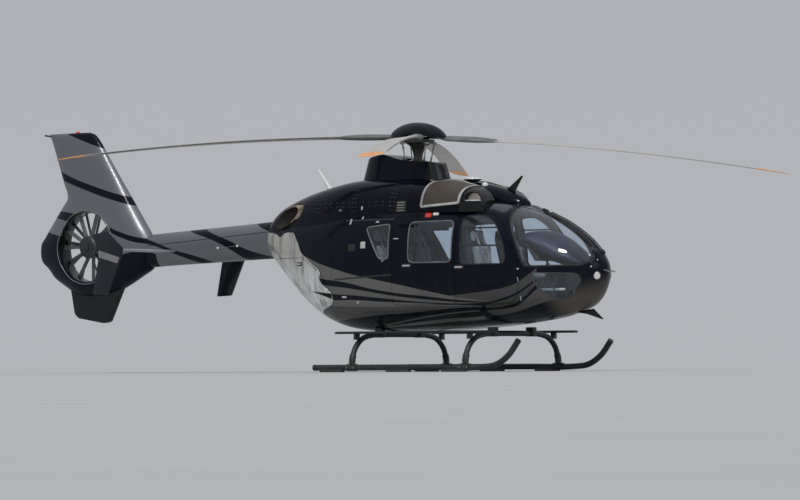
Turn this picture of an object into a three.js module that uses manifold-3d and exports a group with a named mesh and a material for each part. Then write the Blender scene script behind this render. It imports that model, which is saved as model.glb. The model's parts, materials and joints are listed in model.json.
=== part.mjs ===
// A light twin-engine helicopter with a shrouded tail fan, parked on its skids.
// Millimetres. X points to the nose, Y to the port side, Z up. While the pieces are made, x = 0 is the
// main rotor's centre; the last lines move the group so that the origin is the bottom centre of its box.
import * as THREE from "three";
import { mergeVertices } from "three/addons/utils/BufferGeometryUtils.js";
import Module from "manifold-3d";

const wasm = await Module();
wasm.setup();

// Driving dimensions
const ROTOR_RADIUS = 5100;
const ROTOR_HUB_Z = 3205;
const ROTOR_BLADES = 4;
const ROTOR_PARKED_DEG = 31.3; // first blade, from the nose towards port
const MAST_TILT_DEG = 2; // the mast leans forward
const BLADE_DROOP = 390; // how far a parked blade's tip hangs below the hub
const BLADE_HALF_CHORD = 144;

const FAN_X = -6100;
const FAN_Z = 1840;
const FAN_RADIUS = 495;
const DUCT_RADIUS = 504;
const FAN_HUB_RADIUS = 165;

const SKID_Y = 1050;
const CROSS_TUBE_X = { front: 1590, rear: -350 };

const WALL = 45; // doors and cabin walls
const COWL_WALL = 22;
const GLASS_OUT = 3; // how far the glass lies under the outer skin
const GLASS_THICK = 8;
const SEAM = 12; // gap round a moving door
const FIT = 0.4; // gap between pieces that touch
const SMOOTHING = 0.12; // a cut surface may move by this much to lose its slivers

const DOOR_SILL_Z = 900;
const FLOOR_TOP_Z = 880;
const DECK_Z = 2160; // engine deck, under the cowling
const DECK_THICK = 30;
const REAR_FRAME_X = -950; // seam between the cabin frame and the rear fuselage
const COWL_FRONT_X = 540;

const PAINT = { color: 0x10131c, roughness: 0.25, metalness: 0.1 };
const SILVER = { color: 0x8a8a8c, roughness: 0.35, metalness: 0.6 };
const BLACK = { color: 0x0c0e12, roughness: 0.4, metalness: 0.1 };
const GLASS = { color: 0x2a3038, roughness: 0.08, metalness: 0 };
const STEEL = { color: 0x8f8578, roughness: 0.4, metalness: 0.8 };
const BLADE = { color: 0xa39e96, roughness: 0.5, metalness: 0.1 };
const GREY = { color: 0x4a4d52, roughness: 0.6, metalness: 0.2 };
const LEATHER = { color: 0x6b665e, roughness: 0.7, metalness: 0 };

const group = new THREE.Group();
const rotorGroup = new THREE.Group();
rotorGroup.position.set(0, 0, ROTOR_HUB_Z);
rotorGroup.rotation.y = THREE.MathUtils.degToRad(MAST_TILT_DEG);
group.add(rotorGroup);

// From a three.js geometry to a solid that can be cut and joined, and back
function solid(geometry) {
  const bare = geometry.clone();
  bare.deleteAttribute("normal");
  bare.deleteAttribute("uv");
  const merged = mergeVertices(bare, 1e-3);
  return new wasm.Manifold(
    new wasm.Mesh({
      numProp: 3,
      vertProperties: new Float32Array(merged.attributes.position.array),
      triVerts: new Uint32Array(merged.index.array),
    }),
  );
}

function geometryOf(body) {
  const mesh = body.simplify(SMOOTHING).getMesh();
  const geometry = new THREE.BufferGeometry();
  geometry.setAttribute("position", new THREE.BufferAttribute(new Float32Array(mesh.vertProperties), 3));
  geometry.setIndex(new THREE.BufferAttribute(new Uint32Array(mesh.triVerts), 1));
  const faceted = geometry.toNonIndexed();
  faceted.computeVertexNormals();
  return faceted;
}

function addNode(name, body, finish, parent = group) {
  const geometry = body.isBufferGeometry ? body : geometryOf(body);
  const mesh = new THREE.Mesh(geometry, new THREE.MeshStandardMaterial(finish));
  mesh.name = name;
  parent.add(mesh);
  return mesh;
}

// A closed skin over rings of points, each ring with the same number of points, going round alike
function skinOver(rings) {
  const count = rings[0].length;
  const points = rings.flat();
  const index = [];
  for (let r = 0; r < rings.length - 1; r++) {
    for (let i = 0; i < count; i++) {
      const a = r * count + i;
      const b = r * count + ((i + 1) % count);
      index.push(a, b, a + count, b, b + count, a + count);
    }
  }
  const last = (rings.length - 1) * count;
  for (const [start, flip] of [[0, true], [last, false]]) {
    const centre = points.length;
    const mean = new THREE.Vector3();
    for (let i = 0; i < count; i++) mean.add(points[start + i]);
    points.push(mean.divideScalar(count));
    for (let i = 0; i < count; i++) {
      const a = start + i;
      const b = start + ((i + 1) % count);
      index.push(...(flip ? [centre, b, a] : [centre, a, b]));
    }
  }
  const geometry = new THREE.BufferGeometry().setFromPoints(points);
  geometry.setIndex(index);
  return geometry;
}

const power = (value, exponent) => Math.sign(value) * Math.abs(value) ** exponent;

// A ring round the x axis at one station: an egg whose upper and lower halves have their own squareness
function eggRing(s, count) {
  const ring = [];
  for (let i = 0; i < count; i++) {
    const angle = (2 * Math.PI * i) / count;
    const c = Math.cos(angle);
    const n = Math.sin(angle);
    const squareness = n > 0 ? s.upper : s.lower;
    const reach = n > 0 ? s.top - s.widest : s.widest - s.bottom;
    const y = s.half * power(c, 2 / squareness);
    const z = s.widest + reach * power(n, 2 / squareness);
    ring.push(new THREE.Vector3(s.x, y, z));
  }
  return ring;
}

// Outlines with rounded corners, as flat plates through the part
function outline(points, radius = 0) {
  const shape = new THREE.Shape();
  const count = points.length;
  points.forEach(([x, y], i) => {
    const here = new THREE.Vector2(x, y);
    const before = new THREE.Vector2(...points[(i + count - 1) % count]);
    const after = new THREE.Vector2(...points[(i + 1) % count]);
    const inLength = here.distanceTo(before);
    const outLength = here.distanceTo(after);
    const cut = Math.min(radius, inLength * 0.45, outLength * 0.45);
    const start = here.clone().lerp(before, cut / inLength);
    const end = here.clone().lerp(after, cut / outLength);
    if (i === 0) shape.moveTo(start.x, start.y);
    else shape.lineTo(start.x, start.y);
    if (cut > 0) shape.quadraticCurveTo(x, y, end.x, end.y);
  });
  shape.closePath();
  return shape;
}

const AXES = {
  side: [new THREE.Vector3(1, 0, 0), new THREE.Vector3(0, 0, 1), new THREE.Vector3(0, -1, 0)],
  front: [new THREE.Vector3(0, 1, 0), new THREE.Vector3(0, 0, 1), new THREE.Vector3(1, 0, 0)],
  top: [new THREE.Vector3(1, 0, 0), new THREE.Vector3(0, 1, 0), new THREE.Vector3(0, 0, 1)],
};

// Plates: "side" outlines are x,z and run from y0 to y1; "front" are y,z along x; "top" are x,y along z
function plate(view, points, from, to, radius = 0, steps = 2) {
  const depth = to - from;
  const options = { depth, bevelEnabled: false, curveSegments: steps };
  const geometry = new THREE.ExtrudeGeometry(outline(points, radius), options);
  const [u, v, w] = AXES[view];
  geometry.applyMatrix4(new THREE.Matrix4().makeBasis(u, v, w));
  const shift = view === "side" ? -to : from;
  geometry.translate(w.x * shift, w.y * shift, w.z * shift);
  return solid(geometry);
}

// The plate on one side of the aircraft: side -1 is starboard, 1 is port
function sidePlate(points, side, near, far, radius = 0) {
  return side < 0 ? plate("side", points, -far, -near, radius) : plate("side", points, near, far, radius);
}

function box(x0, x1, y0, y1, z0, z1) {
  const geometry = new THREE.BoxGeometry(x1 - x0, y1 - y0, z1 - z0);
  geometry.translate((x0 + x1) / 2, (y0 + y1) / 2, (z0 + z1) / 2);
  return solid(geometry);
}

// A turned piece: profile points are radius, height; the axis is +z, moved by place
function turned(profile, segments, place = new THREE.Matrix4()) {
  const points = profile.map(([radius, height]) => new THREE.Vector2(radius, height));
  const geometry = new THREE.LatheGeometry(points, segments);
  geometry.rotateX(Math.PI / 2);
  geometry.applyMatrix4(place);
  return solid(geometry);
}

// A bar of round section between two points
function rod(start, end, radius, segments = 10) {
  const a = new THREE.Vector3(...start);
  const b = new THREE.Vector3(...end);
  const along = b.clone().sub(a);
  const geometry = new THREE.CylinderGeometry(radius, radius, along.length(), segments);
  const up = new THREE.Vector3(0, 1, 0);
  geometry.applyQuaternion(new THREE.Quaternion().setFromUnitVectors(up, along.clone().normalize()));
  const middle = a.add(b).multiplyScalar(0.5);
  geometry.translate(middle.x, middle.y, middle.z);
  return solid(geometry);
}

// A tube bent along a smooth curve
function bentTube(points, radius, steps, sides) {
  const curve = new THREE.CatmullRomCurve3(points.map((p) => new THREE.Vector3(...p)), false, "centripetal");
  const section = new THREE.Shape();
  for (let i = 0; i < sides; i++) {
    const angle = (2 * Math.PI * (i + 0.5)) / sides;
    const x = radius * Math.cos(angle);
    const y = radius * Math.sin(angle);
    if (i === 0) section.moveTo(x, y);
    else section.lineTo(x, y);
  }
  section.closePath();
  return solid(new THREE.ExtrudeGeometry(section, { steps, extrudePath: curve, bevelEnabled: false }));
}

const join = (bodies) => bodies.reduce((sum, body) => sum.add(body));
const SIDES = [["right", -1], ["left", 1]];

// The pod's outer shape, station by station from the nose to the boom's root.
// x, half width, bottom, top, height of the widest line, squareness of the lower and the upper half
const POD_STATIONS = [
  [3165, 45, 1270, 1400, 1335, 2.0, 2.0],
  [3125, 150, 1150, 1490, 1330, 2.0, 2.0],
  [3035, 265, 985, 1610, 1320, 2.1, 2.0],
  [2900, 375, 865, 1745, 1305, 2.2, 2.0],
  [2700, 490, 790, 1890, 1300, 2.3, 2.0],
  [2450, 590, 730, 2030, 1300, 2.5, 2.05],
  [2150, 675, 685, 2160, 1305, 2.7, 2.2],
  [1800, 735, 645, 2265, 1320, 2.9, 2.5],
  [1400, 770, 610, 2325, 1350, 3.1, 2.8],
  [950, 782, 580, 2350, 1350, 3.2, 3.1],
  [300, 785, 560, 2360, 1350, 3.3, 3.3],
  [-300, 785, 555, 2360, 1350, 3.3, 3.3],
  [-800, 760, 575, 2350, 1360, 3.0, 3.1],
  [-1150, 715, 640, 2330, 1400, 2.7, 2.9],
  [-1500, 640, 780, 2300, 1480, 2.5, 2.7],
  [-1850, 540, 1010, 2260, 1600, 2.3, 2.5],
  [-2200, 400, 1320, 2200, 1740, 2.2, 2.3],
  [-2500, 262, 1575, 2140, 1855, 2.0, 2.0],
];
const POD_RING = 28;
const INNER_RING = 16; // the inside of the walls is coarser
const NOSE_FULL_X = 3165;
const NOSE_START_X = 2100;

function podStation([x, half, bottom, top, widest, lower, upper], inset) {
  const towardsNose = THREE.MathUtils.clamp((x - NOSE_START_X) / (NOSE_FULL_X - NOSE_START_X), 0, 1);
  return {
    x: x - inset * towardsNose,
    half: half - inset,
    bottom: bottom + inset,
    top: top - inset,
    widest,
    lower,
    upper,
  };
}

// The cowling over the engines, from the intakes to the boom. x, half width, top, squareness
const COWL_STATIONS = [
  [COWL_FRONT_X, 640, 2625, 3.4],
  [100, 655, 2650, 3.4],
  [-450, 655, 2662, 3.3],
  [-900, 640, 2645, 3.2],
  [-1300, 590, 2585, 3.0],
  [-1700, 505, 2500, 2.8],
  [-2100, 390, 2385, 2.5],
  [-2400, 290, 2245, 2.2],
  [-2500, 240, 2160, 2.0],
];
const COWL_BASE_Z = 1950;

function podBody(inset, ring = POD_RING) {
  const usable = POD_STATIONS.filter((s) => s[1] - inset > 20);
  return solid(skinOver(usable.map((s) => eggRing(podStation(s, inset), ring)).reverse()));
}

function cowlBody(inset) {
  const rings = COWL_STATIONS.map(([x, half, top, squareness], i) => {
    const end = i === 0 ? inset : 0;
    return eggRing(
      {
        x: x - end,
        half: half - inset,
        bottom: COWL_BASE_Z - 200,
        top: top - inset,
        widest: COWL_BASE_Z,
        lower: 2,
        upper: squareness,
      },
      POD_RING,
    );
  });
  return solid(skinOver(rings.reverse()));
}

const everywhere = (x0, x1, z0, z1) => box(x0, x1, -1500, 1500, z0, z1);

const podOuter = podBody(0);
const podInner = podBody(WALL, INNER_RING);
const podShell = podOuter.subtract(podInner);
const glassShell = podBody(GLASS_OUT).subtract(podBody(GLASS_OUT + GLASS_THICK));
const podKeepOut = podBody(-FIT);
const aboveDeck = everywhere(-2600, COWL_FRONT_X, DECK_Z, 3000);

// Door, window and seam outlines, as x,z in side view
const WINDSCREEN = [
  [1905, 2600], [1905, 2195], [1925, 2060], [2065, 1800], [2165, 1600], [2265, 1395], [2960, 1405],
  [3085, 1470], [3300, 1470], [3300, 2600],
];
const ROOF_WINDOW = [[1400, 2600], [1400, 2215], [1640, 2175], [1840, 2110], [1840, 2600]];
const CHIN_WINDOW = [[2345, 1315], [2945, 1300], [2975, 1200], [2810, 960], [2600, 950], [2440, 1120]];
const FRONT_DOOR = [
  [1210, DOOR_SILL_Z], [1210, 2180], [1440, 2170], [1680, 2120], [1850, 2030], [2010, 1780], [2100, 1600],
  [2195, 1380], [2205, 1150], [2120, 960], [2020, DOOR_SILL_Z],
];
const FRONT_DOOR_WINDOW = [
  [1290, 1440], [1270, 2090], [1500, 2105], [1640, 2075], [1790, 1965], [1935, 1730], [1990, 1560],
  [1990, 1440],
];
const SLIDING_DOOR = [[135, DOOR_SILL_Z], [135, 2120], [1190, 2120], [1190, DOOR_SILL_Z]];
const SLIDING_DOOR_WINDOW = [[415, 1480], [405, 2030], [1140, 2040], [1150, 1475]];
const REAR_WINDOW = [[-85, 1535], [-345, 1975], [70, 2015], [75, 1535]];
const POST_FRONT_VIEW = [
  [-235, 1300], [-235, 1395], [-120, 1540], [-62, 1750], [-48, 2100], [-42, 2700],
  [42, 2700], [48, 2100], [62, 1750], [120, 1540], [235, 1395], [235, 1300],
];
const ROOF_BEAM_HALF = 90;
// The clamshell doors' half of the pod's tail: the side seam from top to bottom, then the belly seam
const CLAMSHELL_REAR_X = -2700;
const CLAMSHELL_REGION = [
  [-1570, 1590], [-1205, 1385], [-1000, 1105], [-1000, 500], [CLAMSHELL_REAR_X, 500], [CLAMSHELL_REAR_X, 1590],
];

function grown(points, amount) {
  const xs = points.map((p) => p[0]);
  const zs = points.map((p) => p[1]);
  const cx = (Math.min(...xs) + Math.max(...xs)) / 2;
  const cz = (Math.min(...zs) + Math.max(...zs)) / 2;
  const sx = 1 + (2 * amount) / (Math.max(...xs) - Math.min(...xs));
  const sz = 1 + (2 * amount) / (Math.max(...zs) - Math.min(...zs));
  return points.map(([x, z]) => [cx + (x - cx) * sx, cz + (z - cz) * sz]);
}

const WINDOW_CORNER = 70;
const MIDDLE = 60; // side plates start this far from the centre line
const OUTSIDE = 1200;

// Glass, and the openings it fills
const windscreenOpening = (side, gap) => {
  const post = POST_FRONT_VIEW.map(([y, z]) => [y + Math.sign(y) * gap, z]);
  return sidePlate(grown(WINDSCREEN, -gap), side, 1, OUTSIDE, 25).subtract(plate("front", post, 1000, 3400));
};
const roofWindowOpening = (side, gap) =>
  sidePlate(grown(ROOF_WINDOW, -gap), side, ROOF_BEAM_HALF + gap, 560 - gap, 50);
const chinOpening = (side, gap) => sidePlate(grown(CHIN_WINDOW, -gap), side, 170 + gap, OUTSIDE, 40);
const frontWindowOpening = (side, gap) =>
  sidePlate(grown(FRONT_DOOR_WINDOW, -gap), side, MIDDLE, OUTSIDE, WINDOW_CORNER);
const slidingWindowOpening = (side, gap) =>
  sidePlate(grown(SLIDING_DOOR_WINDOW, -gap), side, MIDDLE, OUTSIDE, WINDOW_CORNER);
const rearWindowOpening = (side, gap) => sidePlate(grown(REAR_WINDOW, -gap), side, MIDDLE, OUTSIDE, 40);

const frontDoorHole = (side, gap) => sidePlate(grown(FRONT_DOOR, gap), side, MIDDLE, OUTSIDE, 60);
const slidingDoorHole = (side, gap) => sidePlate(grown(SLIDING_DOOR, gap), side, MIDDLE, OUTSIDE, 60);

const clamshellRegion = (gap) =>
  CLAMSHELL_REGION.map(([x, z]) => [x > CLAMSHELL_REAR_X ? x - 1.2 * gap : x, z > 1000 ? z - gap : z]);

// Pod panels
const belowDeck = everywhere(-2600, COWL_FRONT_X, 400, DECK_Z - FIT);
const aheadOfDeck = everywhere(COWL_FRONT_X, 3300, 400, 3000);
const podUnderCowl = podShell.intersect(join([belowDeck, aheadOfDeck]));
const deck = box(-2300, COWL_FRONT_X + 40, -900, 900, DECK_Z - DECK_THICK, DECK_Z - FIT).intersect(podOuter);
const deckLip = everywhere(COWL_FRONT_X, COWL_FRONT_X + 40, DECK_Z - DECK_THICK, 2600).intersect(podOuter);

let frameShell = join([podUnderCowl, deck, deckLip]);
for (const [, side] of SIDES) {
  for (const hole of [
    windscreenOpening(side, 0),
    roofWindowOpening(side, 0),
    chinOpening(side, 0),
    frontDoorHole(side, 0),
    slidingDoorHole(side, 0),
    rearWindowOpening(side, 0),
  ]) {
    frameShell = frameShell.subtract(hole);
  }
}

const lowerCut = DOOR_SILL_Z - 60;
const lowerFuselage = podShell.intersect(everywhere(REAR_FRAME_X + FIT, 3300, 400, lowerCut - FIT));
addNode("lower_fuselage", lowerFuselage, PAINT);
addNode("cabin_frame", frameShell.intersect(everywhere(REAR_FRAME_X + FIT, 3300, lowerCut, 3000)), PAINT);

// Exhaust pipes leave the rear fuselage on both sides, cut off at a slant
const EXHAUST_START = [-1250, 300, 2290];
const EXHAUST_END = [-2330, 400, 2090];
const EXHAUST_RADIUS = 148;
const exhaustRod = (side, radius, longer) => {
  const start = new THREE.Vector3(EXHAUST_START[0], side * EXHAUST_START[1], EXHAUST_START[2]);
  const end = new THREE.Vector3(EXHAUST_END[0], side * EXHAUST_END[1], EXHAUST_END[2]);
  const along = end.clone().sub(start).normalize().multiplyScalar(longer);
  return rod(start.sub(along).toArray(), end.add(along).toArray(), radius, 16);
};
const exhaustHoles = join(SIDES.map(([, side]) => exhaustRod(side, EXHAUST_RADIUS + 14, 150)));

const rearRegion = everywhere(-2600, REAR_FRAME_X - FIT, 400, 3000);
const clamshellHole = plate("side", clamshellRegion(0), -900, 900);
const rearShell = join([podUnderCowl, deck]).intersect(rearRegion);
addNode("rear_fuselage", rearShell.subtract(clamshellHole).subtract(exhaustHoles), PAINT);

const FLOOR_THICK = 40;
const floorPlate = box(-975, 2330, -900, 900, FLOOR_TOP_Z - FLOOR_THICK, FLOOR_TOP_Z);
const insideWalls = podBody(WALL + FIT, INNER_RING);
addNode("cabin_floor", floorPlate.intersect(insideWalls), GREY);

const clamshells = plate("side", clamshellRegion(SEAM), -900, 900).intersect(podShell);
for (const [name, side] of SIDES) {
  const [near, far] = side < 0 ? [-900, -SEAM / 2] : [SEAM / 2, 900];
  addNode(`clamshell_door_${name}`, clamshells.intersect(box(-3000, 0, near, far, 0, 3000)), PAINT);

  addNode(`windscreen_${name}`, glassShell.intersect(windscreenOpening(side, FIT)), GLASS);
  addNode(`roof_window_${name}`, glassShell.intersect(roofWindowOpening(side, FIT)), GLASS);
  addNode(`chin_window_${name}`, glassShell.intersect(chinOpening(side, FIT)), GLASS);
  addNode(`rear_window_${name}`, glassShell.intersect(rearWindowOpening(side, FIT)), GLASS);

  const frontDoor = podShell.intersect(frontDoorHole(side, -SEAM)).subtract(frontWindowOpening(side, 0));
  addNode(`front_door_${name}`, frontDoor, PAINT);
  addNode(`front_door_window_${name}`, glassShell.intersect(frontWindowOpening(side, FIT)), GLASS);

  const slidingDoor = podShell.intersect(slidingDoorHole(side, -SEAM));
  addNode(`sliding_door_${name}`, slidingDoor.subtract(slidingWindowOpening(side, 0)), PAINT);
  addNode(`sliding_door_window_${name}`, glassShell.intersect(slidingWindowOpening(side, FIT)), GLASS);
}

// The engine cowling, with the pod's upper skin behind the cabin, and what it covers
const envelope = podOuter.add(cowlBody(0));
const envelopeInner = podBody(COWL_WALL, INNER_RING).add(cowlBody(COWL_WALL));
const mastHole = turned([[0, 2000], [120, 2000], [120, 3300], [0, 3300]], 20);
const engineCowl = envelope.subtract(envelopeInner).intersect(aboveDeck);
addNode("engine_cowling", engineCowl.subtract(exhaustHoles).subtract(mastHole), PAINT);

const ENGINE = { x0: -1080, x1: -330, y: 300, halfWidth: 135, z0: DECK_Z + 30, z1: 2460 };
for (const [name, side] of SIDES) {
  const y = side * ENGINE.y;
  const block = box(ENGINE.x0, ENGINE.x1, y - ENGINE.halfWidth, y + ENGINE.halfWidth, ENGINE.z0, ENGINE.z1);
  addNode(`engine_${name}`, block, STEEL);
}
addNode("main_gearbox", box(-250, 300, -240, 240, DECK_Z + 5, 2560), STEEL);

for (const [name, side] of SIDES) {
  const pipe = exhaustRod(side, EXHAUST_RADIUS, 0).subtract(exhaustRod(side, EXHAUST_RADIUS - 8, 60));
  const slant = [[-2100, 700], [-1780, 700], [-2420, 0], [-2700, 0], [-2700, 700]];
  const cut = plate("top", slant.map(([x, y]) => [x, side * y]), 1700, 2600);
  addNode(`exhaust_pipe_${name}`, pipe.subtract(cut), STEEL);
}

// Roof fairing ahead of the mast. x, half width, top
const ROOF_FAIRING_STATIONS = [
  [1890, 50, 2290],
  [1800, 130, 2350],
  [1600, 200, 2440],
  [1300, 245, 2530],
  [900, 262, 2600],
  [COWL_FRONT_X + FIT, 270, 2640],
];
const roofFairingRings = ROOF_FAIRING_STATIONS.map(([x, half, top]) =>
  eggRing({ x, half, bottom: 2050, top, widest: 2120, lower: 2, upper: 3 }, 20),
);
const roofFairing = solid(skinOver(roofFairingRings.reverse())).subtract(podKeepOut);

// Wire cutters: a blade that leans forward, above and below the nose
const UPPER_CUTTER = [[1740, 2290], [1655, 2440], [1790, 2640], [1765, 2640], [1530, 2470], [1600, 2290]];
const LOWER_CUTTER = [[2700, 800], [2950, 830], [3110, 690], [3085, 690], [2850, 760], [2700, 780]];
const upperCutter = plate("side", UPPER_CUTTER, -9, 9).subtract(podKeepOut);
addNode("roof_fairing", roofFairing.add(upperCutter), PAINT);

const lowerCutter = plate("side", LOWER_CUTTER, -9, 9).subtract(podKeepOut);
addNode("wire_cutter_lower", lowerCutter, BLACK);

// Engine intakes with a bulged mesh panel, on both sides of the roof fairing
const INTAKE = [
  [555, 2180], [555, 2440], [640, 2515], [1080, 2520], [1160, 2480], [1160, 2320], [1240, 2250], [1240, 2180],
];
const INTAKE_FRONT_VIEW = [[285, 2150], [285, 2515], [520, 2520], [640, 2420], [690, 2200], [690, 2150]];
const cowlKeepOut = cowlBody(-FIT);
const fairingKeepOut = box(COWL_FRONT_X - 50, 1900, -284, 284, 2000, 2800);
for (const [name, side] of SIDES) {
  const sideShape = sidePlate(INTAKE, side, 200, 900);
  const frontShape = plate("front", INTAKE_FRONT_VIEW.map(([y, z]) => [side * y, z]), 400, 1400);
  const intake = sideShape.intersect(frontShape).subtract(podKeepOut).subtract(cowlKeepOut);
  addNode(`intake_${name}`, intake.subtract(fairingKeepOut), GREY);
}

// The fairing round the mast, open on top, tall at the rear
const MAST_FAIRING_SIDE = [
  [520, 2560], [390, 2870], [120, 2885], [-120, 2915], [-430, 3000], [-720, 2960], [-810, 2925], [-930, 2560],
];
const fairingRing = (z, centre, length, width) => {
  const ring = [];
  for (let i = 0; i < 24; i++) {
    const angle = (2 * Math.PI * i) / 24;
    const x = centre + length * power(Math.cos(angle), 0.9);
    ring.push(new THREE.Vector3(x, width * power(Math.sin(angle), 0.85), z));
  }
  return ring;
};
const fairingBlock = solid(skinOver([fairingRing(2560, -205, 730, 335), fairingRing(3010, -215, 590, 262)]));
const mastWell = turned([[0, 2700], [232, 2700], [232, 3300], [0, 3300]], 24);
const mastFairing = fairingBlock
  .intersect(plate("side", MAST_FAIRING_SIDE, -500, 500))
  .subtract(mastWell)
  .subtract(mastHole)
  .subtract(podKeepOut.add(cowlKeepOut));
// It comes off in two halves, which meet beside the mast
const FAIRING_SPLIT_X = 20;
addNode("mast_fairing_front", mastFairing.intersect(everywhere(FAIRING_SPLIT_X + FIT, 800, 2400, 3200)), PAINT);
addNode("mast_fairing", mastFairing.intersect(everywhere(-1200, FAIRING_SPLIT_X - FIT, 2400, 3200)), PAINT);

// Main rotor, in the rotor's own frame: the hub's centre is the origin and z is the mast axis
addNode(
  "rotor_mast",
  turned([[0, -630], [72, -630], [72, -220], [96, -120], [205, -58], [222, -50], [222, -8], [0, -8]], 24),
  STEEL,
  rotorGroup,
);
const HUB_CAP_OUTER = [[0, 200], [150, 190], [290, 160], [400, 112], [455, 76], [470, 58]];
const HUB_CAP_INNER = [[458, 56], [390, 92], [280, 138], [0, 165]];
const hubCap = turned([...HUB_CAP_OUTER, ...HUB_CAP_INNER].reverse(), 20);
addNode("hub_cap", hubCap, PAINT, rotorGroup);

// Swashplate with the pitch links up to the blade cuffs
const SWASH_Z = -345;
const LINK_RADIUS = 185;
const swashRing = turned(
  [[95, SWASH_Z - 22], [205, SWASH_Z - 22], [205, SWASH_Z + 18], [95, SWASH_Z + 18], [95, SWASH_Z - 22]],
  24,
);
const links = [];
for (let i = 0; i < ROTOR_BLADES; i++) {
  const angle = THREE.MathUtils.degToRad(ROTOR_PARKED_DEG + 32 + (360 / ROTOR_BLADES) * i);
  const [c, s] = [Math.cos(angle), Math.sin(angle)];
  const foot = [LINK_RADIUS * c, LINK_RADIUS * s, SWASH_Z];
  links.push(rod(foot, [(LINK_RADIUS + 60) * c, (LINK_RADIUS + 60) * s, -62], 14, 8));
}
addNode("swashplate", join([swashRing, ...links]), STEEL, rotorGroup);

// Blades. Radius, half chord, half thickness, rise of the section, sweep back at the tip
const BLADE_STATIONS = [
  [125, 58, 22, 22, 0],
  [270, 70, 24, 20, 0],
  [400, 118, 42, 4, 0],
  [760, 126, 46, 0, 0],
  [960, 112, 36, 0, 0],
  [1160, BLADE_HALF_CHORD, 20, 0, 0],
  [1700, BLADE_HALF_CHORD, 16, 0, 0],
  [2600, BLADE_HALF_CHORD, 16, 0, 0],
  [3500, BLADE_HALF_CHORD, 15, 0, 0],
  [4300, BLADE_HALF_CHORD, 14, 0, 0],
  [4650, 136, 12, 0, 8],
  [4900, 110, 9, 0, 38],
  [5040, 74, 6, 0, 78],
  [ROTOR_RADIUS, 34, 4, 0, 118],
];
const BLADE_SECTION = [
  [1, 0], [0.88, 0.62], [0.55, 1], [0.1, 0.86], [-0.5, 0.42], [-1, 0.08],
  [-1, -0.08], [-0.5, -0.4], [0.1, -0.72], [0.55, -0.8], [0.88, -0.5],
];
const BLADE_PITCH_DEG = 6;
const bladeRings = BLADE_STATIONS.map(([radius, half, thick, rise, sweep]) => {
  const droop = -BLADE_DROOP * (radius / ROTOR_RADIUS) ** 2;
  const pitch = THREE.MathUtils.degToRad(radius < 300 ? 0 : BLADE_PITCH_DEG * (1 - radius / ROTOR_RADIUS));
  return BLADE_SECTION.map(([u, v]) => {
    const y = u * half * Math.cos(pitch) - v * thick * Math.sin(pitch) - sweep;
    const z = u * half * Math.sin(pitch) + v * thick * Math.cos(pitch) + rise + droop;
    return new THREE.Vector3(radius, y, z);
  });
});
for (let i = 0; i < ROTOR_BLADES; i++) {
  const blade = addNode(`main_blade_${i + 1}`, geometryOf(solid(skinOver(bladeRings))), BLADE, rotorGroup);
  blade.rotation.z = THREE.MathUtils.degToRad(ROTOR_PARKED_DEG + (360 / ROTOR_BLADES) * i);
}

// Tail boom. x, half width, bottom, top
const BOOM_STATIONS = [
  [-2500 - FIT, 235, 1605, 2125],
  [-3000, 212, 1590, 2095],
  [-3800, 178, 1562, 2050],
  [-4500, 150, 1538, 2012],
  [-4900, 140, 1520, 1990],
];
const boomRing = ([x, half, bottom, top], grow) => {
  const widest = (bottom + top) / 2 + 30;
  const reach = { half: half + grow, bottom: bottom - grow, top: top + grow };
  return eggRing({ x, ...reach, widest, lower: 2.1, upper: 2.3 }, 24);
};
const boomBody = (grow, longer = 0) => {
  const last = BOOM_STATIONS.length - 1;
  const stretched = BOOM_STATIONS.map(([x, ...rest], i) => {
    const move = i === 0 ? longer : i === last ? -longer : 0;
    return boomRing([x + move, ...rest], grow);
  });
  return solid(skinOver(stretched.reverse()));
};

// Shroud and fin as level sections. z, front x, rear x, half thickness
const FIN_STATIONS = [
  [1120, -5900, -6260, 40],
  [1165, -5640, -6400, 105],
  [1250, -5400, -6545, 150],
  [1400, -5090, -6790, 180],
  [1520, -4880, -6900, 188],
  [1660, -4850, -7050, 190],
  [1770, -4850, -7072, 190],
  [1885, -4865, -7060, 190],
  [2000, -4915, -6975, 186],
  [2200, -5055, -6820, 172],
  [2420, -5215, -6645, 148],
  [2580, -5330, -6535, 128],
  [2800, -5490, -6615, 108],
  [3150, -5740, -6745, 88],
  [3420, -5935, -6850, 70],
  [3500, -6000, -6880, 60],
  [3545, -6090, -6890, 34],
];
const FIN_SECTION = [
  [0, 0], [0.012, 0.3], [0.05, 0.62], [0.14, 0.9], [0.3, 1], [0.55, 0.98], [0.78, 0.8], [0.93, 0.42], [1, 0.12],
];
const finRing = ([z, front, rear, thick], grow) => {
  const chord = front - rear + 2 * grow;
  const at = ([u, v], side) => new THREE.Vector3(front + grow - u * chord, side * v * (thick + grow), z);
  const upper = FIN_SECTION.slice(1).map((p) => at(p, -1));
  const lower = FIN_SECTION.slice(1).map((p) => at(p, 1)).reverse();
  return [at(FIN_SECTION[0], 1), ...upper, ...lower];
};
const finBody = (grow, stations = FIN_STATIONS) => {
  const rings = stations.map((s) => finRing(s, grow));
  if (grow > 0) {
    rings[0].forEach((p) => p.setZ(p.z - grow));
    rings.at(-1).forEach((p) => p.setZ(p.z + grow));
  }
  return solid(skinOver(rings.map((ring) => [...ring].reverse())));
};
const ductPlace = new THREE.Matrix4().makeRotationX(-Math.PI / 2).setPosition(FAN_X, 0, FAN_Z);
// Half of the duct's profile: radius past the duct's own, distance from the middle plane
const DUCT_LIP = [[0, 96], [22, 140], [70, 176], [120, 200], [120, 400]];
const ductBody = (grow, segments) => {
  const half = DUCT_LIP.map(([past, away]) => [DUCT_RADIUS + past + grow, away]);
  const otherHalf = half.map(([radius, away]) => [radius, -away]).reverse();
  return turned([[0, -400], ...otherHalf, ...half, [0, 400]], segments, ductPlace);
};
const duct = ductBody(0, 32);

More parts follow.
